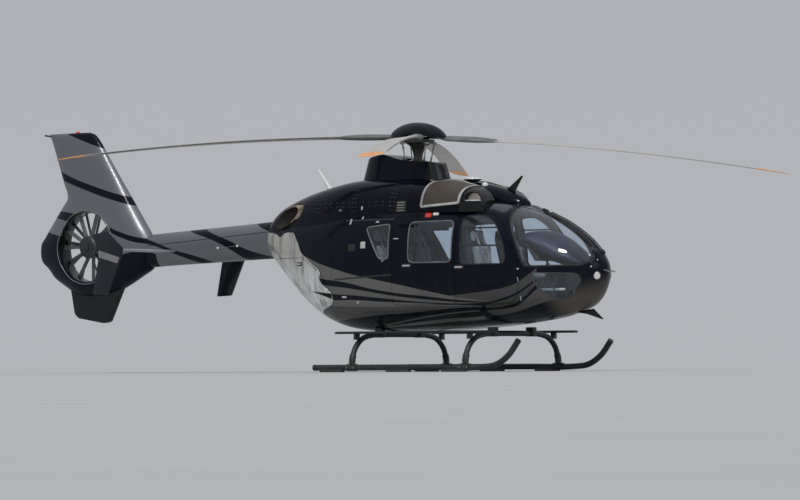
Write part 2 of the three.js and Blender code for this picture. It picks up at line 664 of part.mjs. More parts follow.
// The shroud is a hollow shell, open only where the boom enters it
const FIN_WALL = 26;
const CAVITY_LEVELS = [1250, 1520, 1770, 2000, 2420, 2580, 3150, 3420];
const CAVITY_STATIONS = FIN_STATIONS.filter(([z]) => CAVITY_LEVELS.includes(z));
const boomEntry = rod([-4700, 0, 1760], [-5150, 0, 1760], 95, 12);
const finCavity = finBody(-FIN_WALL, CAVITY_STATIONS).subtract(ductBody(FIN_WALL, 24)).add(boomEntry);
addNode("tail_fin_shroud", finBody(0).subtract(duct).subtract(finCavity), SILVER);
const finKeepOut = finBody(FIT);
const BOOM_WALL = 9;
addNode("tail_boom", boomBody(0).subtract(boomBody(-BOOM_WALL, 80)).subtract(finKeepOut), SILVER);

const VENTRAL_FIN = [[-5410, 1330], [-5720, 745], [-5810, 722], [-6310, 800], [-6385, 865], [-6480, 1330]];
const ventralFin = plate("side", VENTRAL_FIN, -42, 42, 30).subtract(finKeepOut).subtract(duct);
addNode("ventral_fin", ventralFin, BLACK);

// Stator behind the fan: a gearbox in the duct's middle, held by eleven vanes
const STATOR_VANES = 11;
const STATOR_HUB = [[0, 25], [FAN_HUB_RADIUS - 5, 25], [FAN_HUB_RADIUS - 5, 120], [110, 190], [0, 205]];
const statorHub = turned(STATOR_HUB, 24, ductPlace);
const vanes = [];
for (let i = 0; i < STATOR_VANES; i++) {
  const vane = new THREE.BoxGeometry(DUCT_RADIUS - 60, 60, 9);
  vane.translate(DUCT_RADIUS / 2 + 29.5, 0, 0);
  vane.rotateX(THREE.MathUtils.degToRad(78));
  vane.rotateY(THREE.MathUtils.degToRad((360 / STATOR_VANES) * i + 8));
  vane.translate(FAN_X, 62, FAN_Z);
  vanes.push(solid(vane));
}
const ductInside = turned([[0, 20], [DUCT_RADIUS - FIT, 20], [DUCT_RADIUS - FIT, 95], [0, 95]], 32, ductPlace);
addNode("fan_stator", statorHub.add(join(vanes).intersect(ductInside)), GREY);

// Fan: a hub and ten blades at uneven angles, on the starboard side of the stator
const FAN_BLADE_DEG = [0, 31, 68, 108, 143, 180, 211, 248, 288, 323];
const FAN_HUB = [[0, -125], [60, -122], [125, -100], [FAN_HUB_RADIUS, -60], [FAN_HUB_RADIUS, 15], [0, 15]];
const fanHub = turned(FAN_HUB, 24, ductPlace);
// Radius, half chord, half thickness, pitch
const FAN_BLADE_STATIONS = [
  [150, 27, 5, 38],
  [300, 28, 4, 30],
  [FAN_RADIUS, 29, 3, 22],
];
const FAN_BLADE_SECTION = [[1, 0], [0.4, 1], [-1, 0.15], [-1, -0.15], [0.4, -1]];
const fanBlades = FAN_BLADE_DEG.map((degrees) => {
  const rings = FAN_BLADE_STATIONS.map(([radius, half, thick, pitchDeg]) => {
    const pitch = THREE.MathUtils.degToRad(pitchDeg);
    return FAN_BLADE_SECTION.map(([u, v]) => {
      const across = u * half * Math.cos(pitch) - v * thick * Math.sin(pitch);
      const deep = u * half * Math.sin(pitch) + v * thick * Math.cos(pitch);
      return new THREE.Vector3(radius, across, deep);
    });
  });
  const geometry = skinOver(rings);
  geometry.rotateZ(THREE.MathUtils.degToRad(degrees));
  geometry.translate(0, 0, -25);
  geometry.applyMatrix4(ductPlace);
  return solid(geometry);
});
addNode("tail_fan", join([fanHub, ...fanBlades]), GREY);

// Tailplane halves with their end plates
const TAILPLANE_HALF_SPAN = 1335;
const TAILPLANE_SECTION = [
  [-4300, 1740], [-4330, 1757], [-4430, 1764], [-4690, 1744], [-4690, 1738], [-4430, 1718], [-4330, 1722],
];
const END_PLATE = [
  [-4545, 2010], [-4260, 1770], [-4275, 1690], [-4555, 1118], [-4820, 1108], [-4700, 1690], [-4705, 1790],
  [-4835, 1965],
];
const END_PLATE_HALF = 14;
const boomKeepOut = boomBody(FIT);
for (const [name, side] of SIDES) {
  const wing = sidePlate(TAILPLANE_SECTION, side, 50, TAILPLANE_HALF_SPAN);
  const outerEnd = TAILPLANE_HALF_SPAN + 2 * END_PLATE_HALF;
  const plateBody = sidePlate(END_PLATE, side, TAILPLANE_HALF_SPAN - 1, outerEnd, 30);
  addNode(`tailplane_${name}`, wing.add(plateBody).subtract(boomKeepOut), SILVER);
}

// Landing gear
const TUBE_RADIUS = 38;
const SKID_Z = 62;
const CROSS_TUBE_PATH = [
  [-SKID_Y, 104], [-SKID_Y + 12, 190], [-SKID_Y + 75, 330], [-SKID_Y + 230, 455], [-560, 508], [-300, 512],
];
const crossTube = (x, radius) => {
  const half = CROSS_TUBE_PATH.map(([y, z]) => [x, y, z]);
  const otherHalf = CROSS_TUBE_PATH.map(([y, z]) => [x, -y, z]).reverse();
  return bentTube([...half, ...otherHalf], radius, 22, 8);
};
for (const [name, x] of Object.entries(CROSS_TUBE_X)) addNode(`cross_tube_${name}`, crossTube(x, TUBE_RADIUS), BLACK);
const SKID_TUBE_RADIUS = 41;
const SKID_PATH = [
  [-1010, SKID_Z], [0, SKID_Z], [1100, SKID_Z], [1850, SKID_Z], [2110, 95], [2310, 215], [2480, 415],
];
const SHOES = [[-900, -500], [250, 650], [1200, 1600]];
for (const [name, side] of SIDES) {
  const y = side * SKID_Y;
  const tube = bentTube(SKID_PATH.map(([x, z]) => [x, y, z]), SKID_TUBE_RADIUS, 20, 10);
  const shoes = SHOES.map(([x0, x1]) => box(x0, x1, y - 32, y + 32, 0, 50));
  addNode(`skid_${name}`, join([tube, ...shoes]), BLACK);
}

// Long steps, on brackets from the cross tubes
const STEP = { x0: -690, x1: 1960, y0: 880, y1: 1010, z0: 520, z1: 550 };
for (const [name, side] of SIDES) {
  const near = side < 0 ? -STEP.y1 : STEP.y0;
  const far = side < 0 ? -STEP.y0 : STEP.y1;
  const board = box(STEP.x0, STEP.x1, near, far, STEP.z0, STEP.z1);
  const brackets = Object.values(CROSS_TUBE_X).map((x) =>
    box(x - 22, x + 22, near + 20, far - 20, 400, STEP.z0 + 5).subtract(crossTube(x, TUBE_RADIUS + 1)),
  );
  // What the tube cuts off from a bracket falls away: the board keeps only what hangs on it
  const [biggest] = join([board, ...brackets]).decompose().sort((a, b) => b.volume() - a.volume());
  addNode(`step_${name}`, biggest, BLACK);
}

// Seats: a pan and a back in one outline, seen from the side
const SEAT = [[0, 0], [30, 130], [0, 330], [40, 420], [430, 440], [505, 330], [520, 0]];
const SEAT_BACK = [[0, 330], [-150, 980], [-130, 1110], [-60, 1110], [60, 900], [120, 420]];
const seatBody = (x, y, half, height) => {
  const pan = plate("side", SEAT.map(([u, z]) => [x + u, z + FLOOR_TOP_Z + FIT]), y - half, y + half, 30, 1);
  const back = plate(
    "side",
    SEAT_BACK.map(([u, z]) => [x + u, 330 + (z - 330) * height + FLOOR_TOP_Z]),
    y - half,
    y + half,
    30,
    1,
  );
  return pan.add(back);
};
for (const [name, side] of SIDES) addNode(`pilot_seat_${name}`, seatBody(1330, side * 360, 205, 0.9), LEATHER);
const cabinSeats = [-420, 0, 420].map((y) => seatBody(-300, y, 190, 0.95));
const seatRail = box(-290, -210, -600, 600, FLOOR_TOP_Z + FIT, FLOOR_TOP_Z + 60);
addNode("cabin_seats", join([...cabinSeats, seatRail]), LEATHER);

// Instrument panel with its glare shield and the pedestal between the pilots
const PANEL = [
  [2150, FLOOR_TOP_Z + FIT], [2150, 1230], [2290, 1500], [2330, 1560], [2480, 1555], [2620, 1400], [2560, 1200],
  [2330, FLOOR_TOP_Z + FIT],
];
const PEDESTAL = [[1850, FLOOR_TOP_Z + FIT], [1850, 1080], [2200, 1260], [2300, FLOOR_TOP_Z + FIT]];
// The glare shield: a hood that overhangs the panel and runs down ahead of it, under the windscreen.
// x, half width, bottom, top
const GLARE_SHIELD = [
  [2870, 190, 1405, 1470],
  [2750, 270, 1400, 1585],
  [2600, 325, 1400, 1700],
  [2450, 365, 1415, 1800],
  [2300, 385, 1480, 1865],
  [2150, 400, 1600, 1888],
  [2040, 385, 1690, 1880],
  [2010, 300, 1735, 1850],
];
const glareShieldRings = GLARE_SHIELD.map(([x, half, bottom, top]) =>
  eggRing({ x, half, bottom, top, widest: bottom + (top - bottom) * 0.4, lower: 3.5, upper: 3 }, 20),
);
const glareShield = solid(skinOver(glareShieldRings.reverse()));
const panel = plate("side", PANEL, -330, 330, 25).add(plate("side", PEDESTAL, -120, 120)).add(glareShield);
addNode("instrument_panel", panel.intersect(podBody(WALL + 15, INNER_RING)), GREY);

// Rear whip antenna, stuck into the cowling's top
const whip = rod([-1540, 0, 2500], [-1790, 0, 2840], 9, 8).add(rod([-1535, 0, 2490], [-1560, 0, 2570], 26, 10));
addNode("whip_antenna", whip.subtract(cowlKeepOut), SILVER);

// The origin: bottom centre of the whole
const whole = new THREE.Box3().setFromObject(group, true);
group.position.x = -(whole.min.x + whole.max.x) / 2;
group.position.y = -(whole.min.y + whole.max.y) / 2;
const part = new THREE.Group();
part.add(group);
export default part;
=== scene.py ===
# %% [markdown]
# A light twin-engine helicopter with a shrouded tail fan, parked on its skids.
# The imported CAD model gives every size, place and moving body. This script dresses it: smooth painted
# panels over the faceted solids, glass, seats, trim and small fittings, each riding on its CAD body.
# All tables are in millimetres from the main rotor's centre line (x forward, y to port, z up), like the
# CAD tables, and one function turns them into the frame's metres.

import json
import math

import bmesh
import bpy
import numpy as np
from mathutils import Matrix, Vector
from mathutils.bvhtree import BVHTree
from mathutils.interpolate import poly_3d_calc


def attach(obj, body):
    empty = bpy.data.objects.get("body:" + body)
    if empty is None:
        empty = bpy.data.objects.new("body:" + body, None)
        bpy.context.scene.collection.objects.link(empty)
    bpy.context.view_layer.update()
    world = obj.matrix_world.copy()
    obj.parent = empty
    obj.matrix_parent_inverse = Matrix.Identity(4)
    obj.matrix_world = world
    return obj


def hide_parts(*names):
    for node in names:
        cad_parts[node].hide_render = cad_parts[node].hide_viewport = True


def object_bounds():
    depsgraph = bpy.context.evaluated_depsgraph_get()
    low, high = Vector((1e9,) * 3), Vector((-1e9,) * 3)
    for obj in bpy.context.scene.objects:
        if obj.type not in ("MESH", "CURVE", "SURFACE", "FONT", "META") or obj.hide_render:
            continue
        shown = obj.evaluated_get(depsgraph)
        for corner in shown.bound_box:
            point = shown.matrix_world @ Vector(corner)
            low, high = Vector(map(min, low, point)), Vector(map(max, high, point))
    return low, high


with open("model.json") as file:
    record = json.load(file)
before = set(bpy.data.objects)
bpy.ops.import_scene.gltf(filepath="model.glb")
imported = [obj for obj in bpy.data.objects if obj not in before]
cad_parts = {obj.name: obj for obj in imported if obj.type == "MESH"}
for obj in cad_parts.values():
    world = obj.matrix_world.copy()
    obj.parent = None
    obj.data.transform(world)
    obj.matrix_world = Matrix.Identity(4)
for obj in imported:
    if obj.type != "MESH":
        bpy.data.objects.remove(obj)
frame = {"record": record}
cad_low, cad_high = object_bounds()
joints = {joint["name"]: joint for joint in frame["record"]["behaviour"]["joints"]}
MAST_X = joints["main_rotor_turn"]["pos_m"][0]
ROTOR_HUB_Z = joints["main_rotor_turn"]["pos_m"][2]
SIDES = (("right", -1), ("left", 1))
print("CAD box", cad_low, cad_high, "mast at x", MAST_X)

# %% [markdown]
# The camera stands where the photographer stood: a long lens, 60 m away, at the height of the skids.
# A long lens keeps the near and the far side almost the same size, so a wrong distance would show at once.

# %% Camera
CAMERA_AZIMUTH = 0.6644808861
CAMERA_DISTANCE = 59.99996
CAMERA_HEIGHT = 0.149977
CAMERA_YAW = 0.0044016657
CAMERA_PITCH = 0.0254027814
CAMERA_ROLL = -0.0057894969
FOCAL_PIXELS = 4363.208188
PICTURE_WIDTH = 800
SENSOR_WIDTH = 36.0


def placed(name, data):
    thing = bpy.data.objects.new(name, data)
    bpy.context.scene.collection.objects.link(thing)
    return thing


def make_camera():
    data = bpy.data.cameras.new("camera")
    data.sensor_width = SENSOR_WIDTH
    data.lens = FOCAL_PIXELS / PICTURE_WIDTH * SENSOR_WIDTH
    data.clip_start, data.clip_end = 0.5, 2000.0
    camera = placed("camera", data)
    heading = CAMERA_AZIMUTH + CAMERA_YAW
    forward = Vector((
        -math.sin(heading) * math.cos(CAMERA_PITCH),
        math.cos(heading) * math.cos(CAMERA_PITCH),
        math.sin(CAMERA_PITCH),
    ))
    right = Vector((math.cos(heading), math.sin(heading), 0))
    up = right.cross(forward)
    c, s = math.cos(CAMERA_ROLL), math.sin(CAMERA_ROLL)
    right, up = c * right + s * up, -s * right + c * up
    place = Matrix((right, up, -forward)).transposed().to_4x4()
    place.translation = Vector((
        MAST_X + CAMERA_DISTANCE * math.sin(CAMERA_AZIMUTH),
        -CAMERA_DISTANCE * math.cos(CAMERA_AZIMUTH),
        CAMERA_HEIGHT,
    ))
    camera.matrix_world = place
    bpy.context.scene.camera = camera
    return camera


camera = make_camera()
print("camera", [round(v, 3) for v in camera.location], "lens", round(camera.data.lens, 1))

# %% [markdown]
# Smooth shapes come from the same kind of table as the CAD: cross-sections at stations along an axis.
# Between the table's rows runs a natural cubic spline, so the paint's reflections flow without kinks.
# Each section is an egg whose upper and lower half have their own squareness, with its points spread
# evenly along the outline.

# %% Splines and sections
PLACE_COLUMNS = 4


def spline_rows(rows, per_gap):
    rows = np.array(rows, float)
    gaps = np.sqrt((np.diff(rows[:, :PLACE_COLUMNS], axis=0) ** 2).sum(1))
    knots = np.concatenate([[0.0], np.cumsum(gaps)])
    count = len(rows)
    matrix, right_side = np.eye(count), np.zeros_like(rows)
    for i in range(1, count - 1):
        before, after = gaps[i - 1], gaps[i]
        matrix[i, i - 1:i + 2] = before, 2 * (before + after), after
        right_side[i] = 6 * ((rows[i + 1] - rows[i]) / after - (rows[i] - rows[i - 1]) / before)
    bend = np.linalg.solve(matrix, right_side)
    out = []
    for i, gap in enumerate(gaps):
        for step in range(per_gap):
            b = step / per_gap
            a = 1 - b
            lift = ((a ** 3 - a) * bend[i] + (b ** 3 - b) * bend[i + 1]) * gap * gap / 6
            out.append(a * rows[i] + b * rows[i + 1] + lift)
    out.append(rows[-1])
    return np.array(out)


def egg_section(half, bottom, top, widest, lower, upper, count):
    quarter = count // 4
    angle = np.linspace(0, math.pi / 2, 120)

    def quadrant(squareness, reach):
        radius = (np.cos(angle) ** squareness + np.sin(angle) ** squareness) ** (-1 / squareness)
        points = np.stack([half * radius * np.cos(angle), reach * radius * np.sin(angle)], 1)
        length = np.concatenate([[0], np.cumsum(np.hypot(*np.diff(points, axis=0).T))])
        even = np.linspace(0, length[-1], quarter + 1)
        return np.stack([np.interp(even, length, points[:, k]) for k in (0, 1)], 1)

    high = quadrant(upper, top - widest)
    low = quadrant(lower, widest - bottom)
    ring = [(y, widest + z) for y, z in high]
    ring += [(-y, widest + z) for y, z in high[-2::-1]]
    ring += [(-y, widest - z) for y, z in low[1:]]
    ring += [(y, widest - z) for y, z in low[-2:0:-1]]
    return np.array(ring)

# %% [markdown]
# A skin joins a row of sections with faces, point to point, and closes its ends with a fan of triangles. Every
# mesh of this model is then made in the same steps: points and faces go in, doubled points are merged, and the
# faces are turned outwards.

# %% From sections to meshes
def skin(rings, cap_first=True, cap_last=True, closed_loop=False):
    rings = [np.asarray(ring, float) for ring in rings]
    count = len(rings[0])
    points = list(np.concatenate(rings))
    faces = []
    turns = len(rings) if closed_loop else len(rings) - 1
    for r in range(turns):
        here, there = r * count, ((r + 1) % len(rings)) * count
        for i in range(count):
            j = (i + 1) % count
            faces.append((here + i, here + j, there + j, there + i))
    for wanted, start, flip in ((cap_first, 0, True), (cap_last, (len(rings) - 1) * count, False)):
        if not wanted or closed_loop:
            continue
        points.append(np.mean(points[start:start + count], axis=0))
        for i in range(count):
            a, b = start + i, start + (i + 1) % count
            faces.append((len(points) - 1, b, a) if flip else (len(points) - 1, a, b))
    return np.array(points), faces


def at_frame(points):
    points = np.asarray(points, float) / 1000.0
    return points + np.array([MAST_X, 0.0, 0.0])


def make_object(name, points, faces, in_frame=False):
    mesh = bpy.data.meshes.new(name)
    mesh.from_pydata([tuple(p) for p in (points if in_frame else at_frame(points))], [], faces)
    book = bmesh.new()
    book.from_mesh(mesh)
    bmesh.ops.remove_doubles(book, verts=book.verts, dist=1e-6)
    bmesh.ops.recalc_face_normals(book, faces=book.faces)
    book.to_mesh(mesh)
    book.free()
    return placed(name, mesh)

# %% [markdown]
# Panels are cut like the real ones: one hull, and outlines pressed through it from the side, the front or
# above. Blender's boolean modifier does the cutting, and its result is kept as the piece's mesh.

# %% Outlines and cutting
def rounded(points, radius, steps=6):
    points = [np.array(p, float) for p in points]
    out = []
    for i, here in enumerate(points):
        before, after = points[i - 1], points[(i + 1) % len(points)]
        into, away = np.linalg.norm(here - before), np.linalg.norm(after - here)
        cut = min(radius, into * 0.45, away * 0.45)
        if cut <= 0:
            out.append(here)
            continue
        start = here + (before - here) * cut / into
        end = here + (after - here) * cut / away
        for t in np.linspace(0, 1, steps + 1):
            out.append((1 - t) ** 2 * start + 2 * t * (1 - t) * here + t * t * end)
    return np.array(out)


def grown(points, amount):
    points = np.array(points, float)
    low, high = points.min(0), points.max(0)
    centre = (low + high) / 2
    return centre + (points - centre) * (1 + 2 * amount / (high - low))


def prism(view, points, start, end, radius=0.0, steps=6):
    flat = rounded(points, radius, steps) if radius else np.array(points, float)
    order = {"side": (0, 2, 1), "front": (1, 2, 0), "top": (0, 1, 2)}[view]
    rings = []
    for depth in (start, end):
        ring = np.zeros((len(flat), 3))
        ring[:, order[0]], ring[:, order[1]], ring[:, order[2]] = flat[:, 0], flat[:, 1], depth
        rings.append(ring)
    count = len(flat)
    faces = [tuple(range(count)), tuple(range(2 * count - 1, count - 1, -1))]
    faces += [(i, (i + 1) % count, count + (i + 1) % count, count + i) for i in range(count)]
    tool = make_object("cutter", np.concatenate(rings), faces)
    book = bmesh.new()
    book.from_mesh(tool.data)
    bmesh.ops.triangulate(book, faces=book.faces)
    book.to_mesh(tool.data)
    book.free()
    return tool


def block(x0, x1, y0, y1, z0, z1):
    return prism("side", [(x0, z0), (x1, z0), (x1, z1), (x0, z1)], y0, y1)


def modified_mesh(thing):
    return bpy.data.meshes.new_from_object(thing.evaluated_get(bpy.context.evaluated_depsgraph_get()))


def carve(thing, tool, how="DIFFERENCE", keep=False):
    modifier = thing.modifiers.new("carve", "BOOLEAN")
    modifier.operation = how
    modifier.solver = "MANIFOLD"
    modifier.object = tool
    mesh = modified_mesh(thing)
    thing.modifiers.clear()
    old, thing.data = thing.data, mesh
    bpy.data.meshes.remove(old)
    if not keep:
        bpy.data.objects.remove(tool)
    return thing


def copy_of(thing, name):
    return placed(name, thing.data.copy())


def drop(*things):
    for thing in things:
        bpy.data.objects.remove(thing)

# %% [markdown]
# A cut leaves long thin faces, and thin faces make a gloss paint look dented. So each corner of a cut panel
# takes its shading direction from the uncut hull under it. The cut edges keep their own direction and
# stay crisp.

# %% Shading from the uncut hull
class Hull:
    def __init__(self, thing):
        mesh = thing.data
        self.tree = BVHTree.FromPolygons([v.co for v in mesh.vertices], [p.vertices for p in mesh.polygons])
        self.corners = [[mesh.vertices[i].co.copy() for i in p.vertices] for p in mesh.polygons]
        self.normals = [[mesh.vertices[i].normal.copy() for i in p.vertices] for p in mesh.polygons]

    def normal_at(self, index, place):
        weights = poly_3d_calc(self.corners[index], place)
        total = Vector((0, 0, 0))
        for weight, normal in zip(weights, self.normals[index]):
            total += weight * normal
        return total.normalized()

    def nearest(self, place):
        spot, _, index, distance = self.tree.find_nearest(place)
        return spot, self.normal_at(index, spot), distance

    def cast(self, start, direction):
        spot, _, index, _ = self.tree.ray_cast(Vector(start), Vector(direction))
        return None if spot is None else (spot, self.normal_at(index, spot))

    def from_side(self, x, z, side):
        return self.cast((x / 1000 + MAST_X, side * 3.0, z / 1000), (0, -side, 0))

    def from_above(self, x, y):
        return self.cast((x / 1000 + MAST_X, y / 1000, 6.0), (0, 0, -1))

    def from_front(self, y, z):
        return self.cast((9.0, y / 1000, z / 1000), (-1, 0, 0))


CREASE_DEG, SAME_DIRECTION = 38, 0.9


def shade_from(thing, *hulls, reach=0.002):
    mesh = thing.data
    mesh.shade_smooth()
    mesh.set_sharp_from_angle(angle=math.radians(CREASE_DEG))
    found = {}
    normals = [Vector((0, 0, 0))] * len(mesh.loops)
    for face in mesh.polygons:
        for corner in face.loop_indices:
            vertex = mesh.loops[corner].vertex_index
            if vertex not in found:
                near = [hull.nearest(mesh.vertices[vertex].co) for hull in hulls]
                found[vertex] = [n for _, n, distance in near if distance < reach]
            best = max(found[vertex], key=lambda n: abs(n.dot(face.normal)), default=None)
            if best is not None and abs(best.dot(face.normal)) > SAME_DIRECTION:
                normals[corner] = best if best.dot(face.normal) > 0 else -best
    mesh.normals_split_custom_set(normals)
    return thing


def soft_shade(thing, degrees=35):
    thing.data.shade_smooth()
    thing.data.set_sharp_from_angle(angle=math.radians(degrees))
    return thing

# %% [markdown]
# Every piece ends in the same way. It gets its finish and its shading, the CAD body that it rides on, and the
# names of the CAD nodes whose place it takes.


def fit(thing, finish, replaces=(), hulls=(), body="airframe", reach=0.002):
    """Give a piece its finish and its shading, and let it ride on its CAD body."""
    thing.data.materials.clear()
    thing.data.materials.append(MAT[finish])
    if hulls:
        shade_from(thing, *hulls, reach=reach)
    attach(thing, body)
    if replaces:
        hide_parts(*replaces)
    thing.name
    return thing

# %% [markdown]
# Materials. Effects that several finishes share are node groups: uneven wear of a gloss, dust that has
# settled low down and on top faces, a fine grain for bumps, and edges rubbed bare. They put out only masks,
# roughness and heights, so the Principled shader of each material stays in the material, where its own
# constant values are set.

# %% Node helpers
def link(tree, source, target):
    tree.links.new(source, target)


def calculate(tree, operation, a, b=None, c=None, clamp=False):
    node = tree.nodes.new("ShaderNodeMath")
    node.operation = operation
    node.use_clamp = clamp
    for socket, value in zip(node.inputs, (a, b, c)):
        if value is None:
            continue
        if isinstance(value, bpy.types.NodeSocket):
            link(tree, value, socket)
        else:
            socket.default_value = value
    return node.outputs[0]


def group(name, inputs, outputs):
    tree = bpy.data.node_groups.new(name, "ShaderNodeTree")
    for title, default in inputs:
        socket = tree.interface.new_socket(title, in_out="INPUT", socket_type="NodeSocketFloat")
        socket.default_value = default
    for title in outputs:
        tree.interface.new_socket(title, in_out="OUTPUT", socket_type="NodeSocketFloat")
    return tree, tree.nodes.new("NodeGroupInput").outputs, tree.nodes.new("NodeGroupOutput").inputs


def noise(tree, place, scale, detail=4.0, roughness=0.55):
    node = tree.nodes.new("ShaderNodeTexNoise")
    node.inputs["Detail"].default_value = detail
    node.inputs["Roughness"].default_value = roughness
    link(tree, place, node.inputs["Vector"])
    if isinstance(scale, bpy.types.NodeSocket):
        link(tree, scale, node.inputs["Scale"])
    else:
        node.inputs["Scale"].default_value = scale
    return node.outputs["Fac"]


def spread(tree, value, low, high, to_low=0.0, to_high=1.0, smooth=True):
    node = tree.nodes.new("ShaderNodeMapRange")
    node.interpolation_type = "SMOOTHSTEP" if smooth else "LINEAR"
    link(tree, value, node.inputs["Value"])
    for title, number in (("From Min", low), ("From Max", high), ("To Min", to_low), ("To Max", to_high)):
        node.inputs[title].default_value = number
    return node.outputs[0]


def object_place(tree):
    return tree.nodes.new("ShaderNodeTexCoord").outputs["Object"]


def surface_normal(tree):
    return tree.nodes.new("ShaderNodeNewGeometry").outputs["Normal"]


def split(tree, vector):
    node = tree.nodes.new("ShaderNodeSeparateXYZ")
    link(tree, vector, node.inputs[0])
    return node.outputs

# %% [markdown]
# The four shared effects. Noise makes the gloss uneven, breaks up the dust and rubs the edges bare in patches, since
# real wear is never even. Amounts and scales are inputs, so that one group serves many finishes.

# %% Shared groups
def make_uneven_gloss():
    tree, given, result = group("uneven_gloss", [("Scale", 3.0), ("Low", 0.1), ("High", 0.2)], ["Roughness"])
    broad = noise(tree, object_place(tree), given["Scale"], 6.0, 0.6)
    fine = noise(tree, object_place(tree), 40.0, 3.0)
    both = calculate(tree, "ADD", calculate(tree, "MULTIPLY", broad, 0.75), calculate(tree, "MULTIPLY", fine, 0.25))
    span = calculate(tree, "SUBTRACT", given["High"], given["Low"])
    share = spread(tree, both, 0.35, 0.65)
    link(tree, calculate(tree, "MULTIPLY_ADD", share, span, given["Low"]), result["Roughness"])
    return tree


def make_settled_dust():
    tree, given, result = group("settled_dust", [("Amount", 0.3), ("Height", 0.9)], ["Mask"])
    height = split(tree, object_place(tree))["Z"]
    low = calculate(tree, "SUBTRACT", 1.0, calculate(tree, "DIVIDE", height, given["Height"]), clamp=True)
    top = spread(tree, split(tree, surface_normal(tree))["Z"], 0.6, 1.0, 0.0, 0.6)
    patches = spread(tree, noise(tree, object_place(tree), 6.0, 8.0, 0.7), 0.38, 0.72)
    either = calculate(tree, "MAXIMUM", low, top)
    mask = calculate(tree, "MULTIPLY", calculate(tree, "MULTIPLY", either, patches), given["Amount"], clamp=True)
    link(tree, mask, result["Mask"])
    return tree


def make_fine_grain():
    tree, given, result = group("fine_grain", [("Scale", 300.0), ("Depth", 1.0)], ["Height"])
    grain = noise(tree, object_place(tree), given["Scale"], 3.0, 0.6)
    link(tree, calculate(tree, "MULTIPLY", grain, given["Depth"]), result["Height"])
    return tree


def make_edge_wear():
    tree, given, result = group("edge_wear", [("Radius", 0.004), ("Amount", 0.6)], ["Mask"])
    bevel = tree.nodes.new("ShaderNodeBevel")
    bevel.samples = 4
    link(tree, given["Radius"], bevel.inputs["Radius"])
    compare = tree.nodes.new("ShaderNodeVectorMath")
    compare.operation = "DOT_PRODUCT"
    link(tree, bevel.outputs[0], compare.inputs[0])
    link(tree, surface_normal(tree), compare.inputs[1])
    edge = spread(tree, compare.outputs["Value"], 0.98, 0.8)
    patches = spread(tree, noise(tree, object_place(tree), 25.0, 5.0, 0.7), 0.45, 0.7)
    link(tree, calculate(tree, "MULTIPLY", calculate(tree, "MULTIPLY", edge, patches), given["Amount"]), result["Mask"])
    return tree


GROUPS = {
    "uneven_gloss": make_uneven_gloss(),
    "settled_dust": make_settled_dust(),
    "fine_grain": make_fine_grain(),
    "edge_wear": make_edge_wear(),
}


def use_group(tree, name, **values):
    node = tree.nodes.new("ShaderNodeGroup")
    node.node_tree = GROUPS[name]
    for title, value in values.items():
        node.inputs[title].default_value = value
    return node.outputs[0]


def mixed(tree, mask, first, second):
    node = tree.nodes.new("ShaderNodeMix")
    node.data_type = "RGBA"
    link(tree, mask, node.inputs["Factor"])
    for socket, value in ((node.inputs[6], first), (node.inputs[7], second)):
        if isinstance(value, bpy.types.NodeSocket):
            link(tree, value, socket)
        else:
            socket.default_value = (*value, 1.0)
    return node.outputs[2]


def new_material(name, color, roughness, metallic=0.0, **constants):
    material = bpy.data.materials.new(name)
    material.use_nodes = True
    tree = material.node_tree
    shader = next(n for n in tree.nodes if n.type == "BSDF_PRINCIPLED")
    shader.inputs["Base Color"].default_value = (*color, 1.0)
    shader.inputs["Roughness"].default_value = roughness
    shader.inputs["Metallic"].default_value = metallic
    for title, value in constants.items():
        shader.inputs[title.replace("_", " ")].default_value = value
    material.diffuse_color = (*color, 1.0)
    return material, tree, shader


def add_bump(tree, shader, height, strength, distance):
    bump = tree.nodes.new("ShaderNodeBump")
    bump.inputs["Strength"].default_value = strength
    bump.inputs["Distance"].default_value = distance
    link(tree, height, bump.inputs["Height"])
    link(tree, bump.outputs[0], shader.inputs["Normal"])

# %% [markdown]
# The livery: navy, nearly black, with two families of grey stripes on the lower sides. They run together
# below the front door and open again towards the chin windows. Each stripe lies between two curves,
# height over length, that were read off the photograph on the model. The tone says how light the stripe is.
# The tail has silver paint with slanted black bands, made the same way.

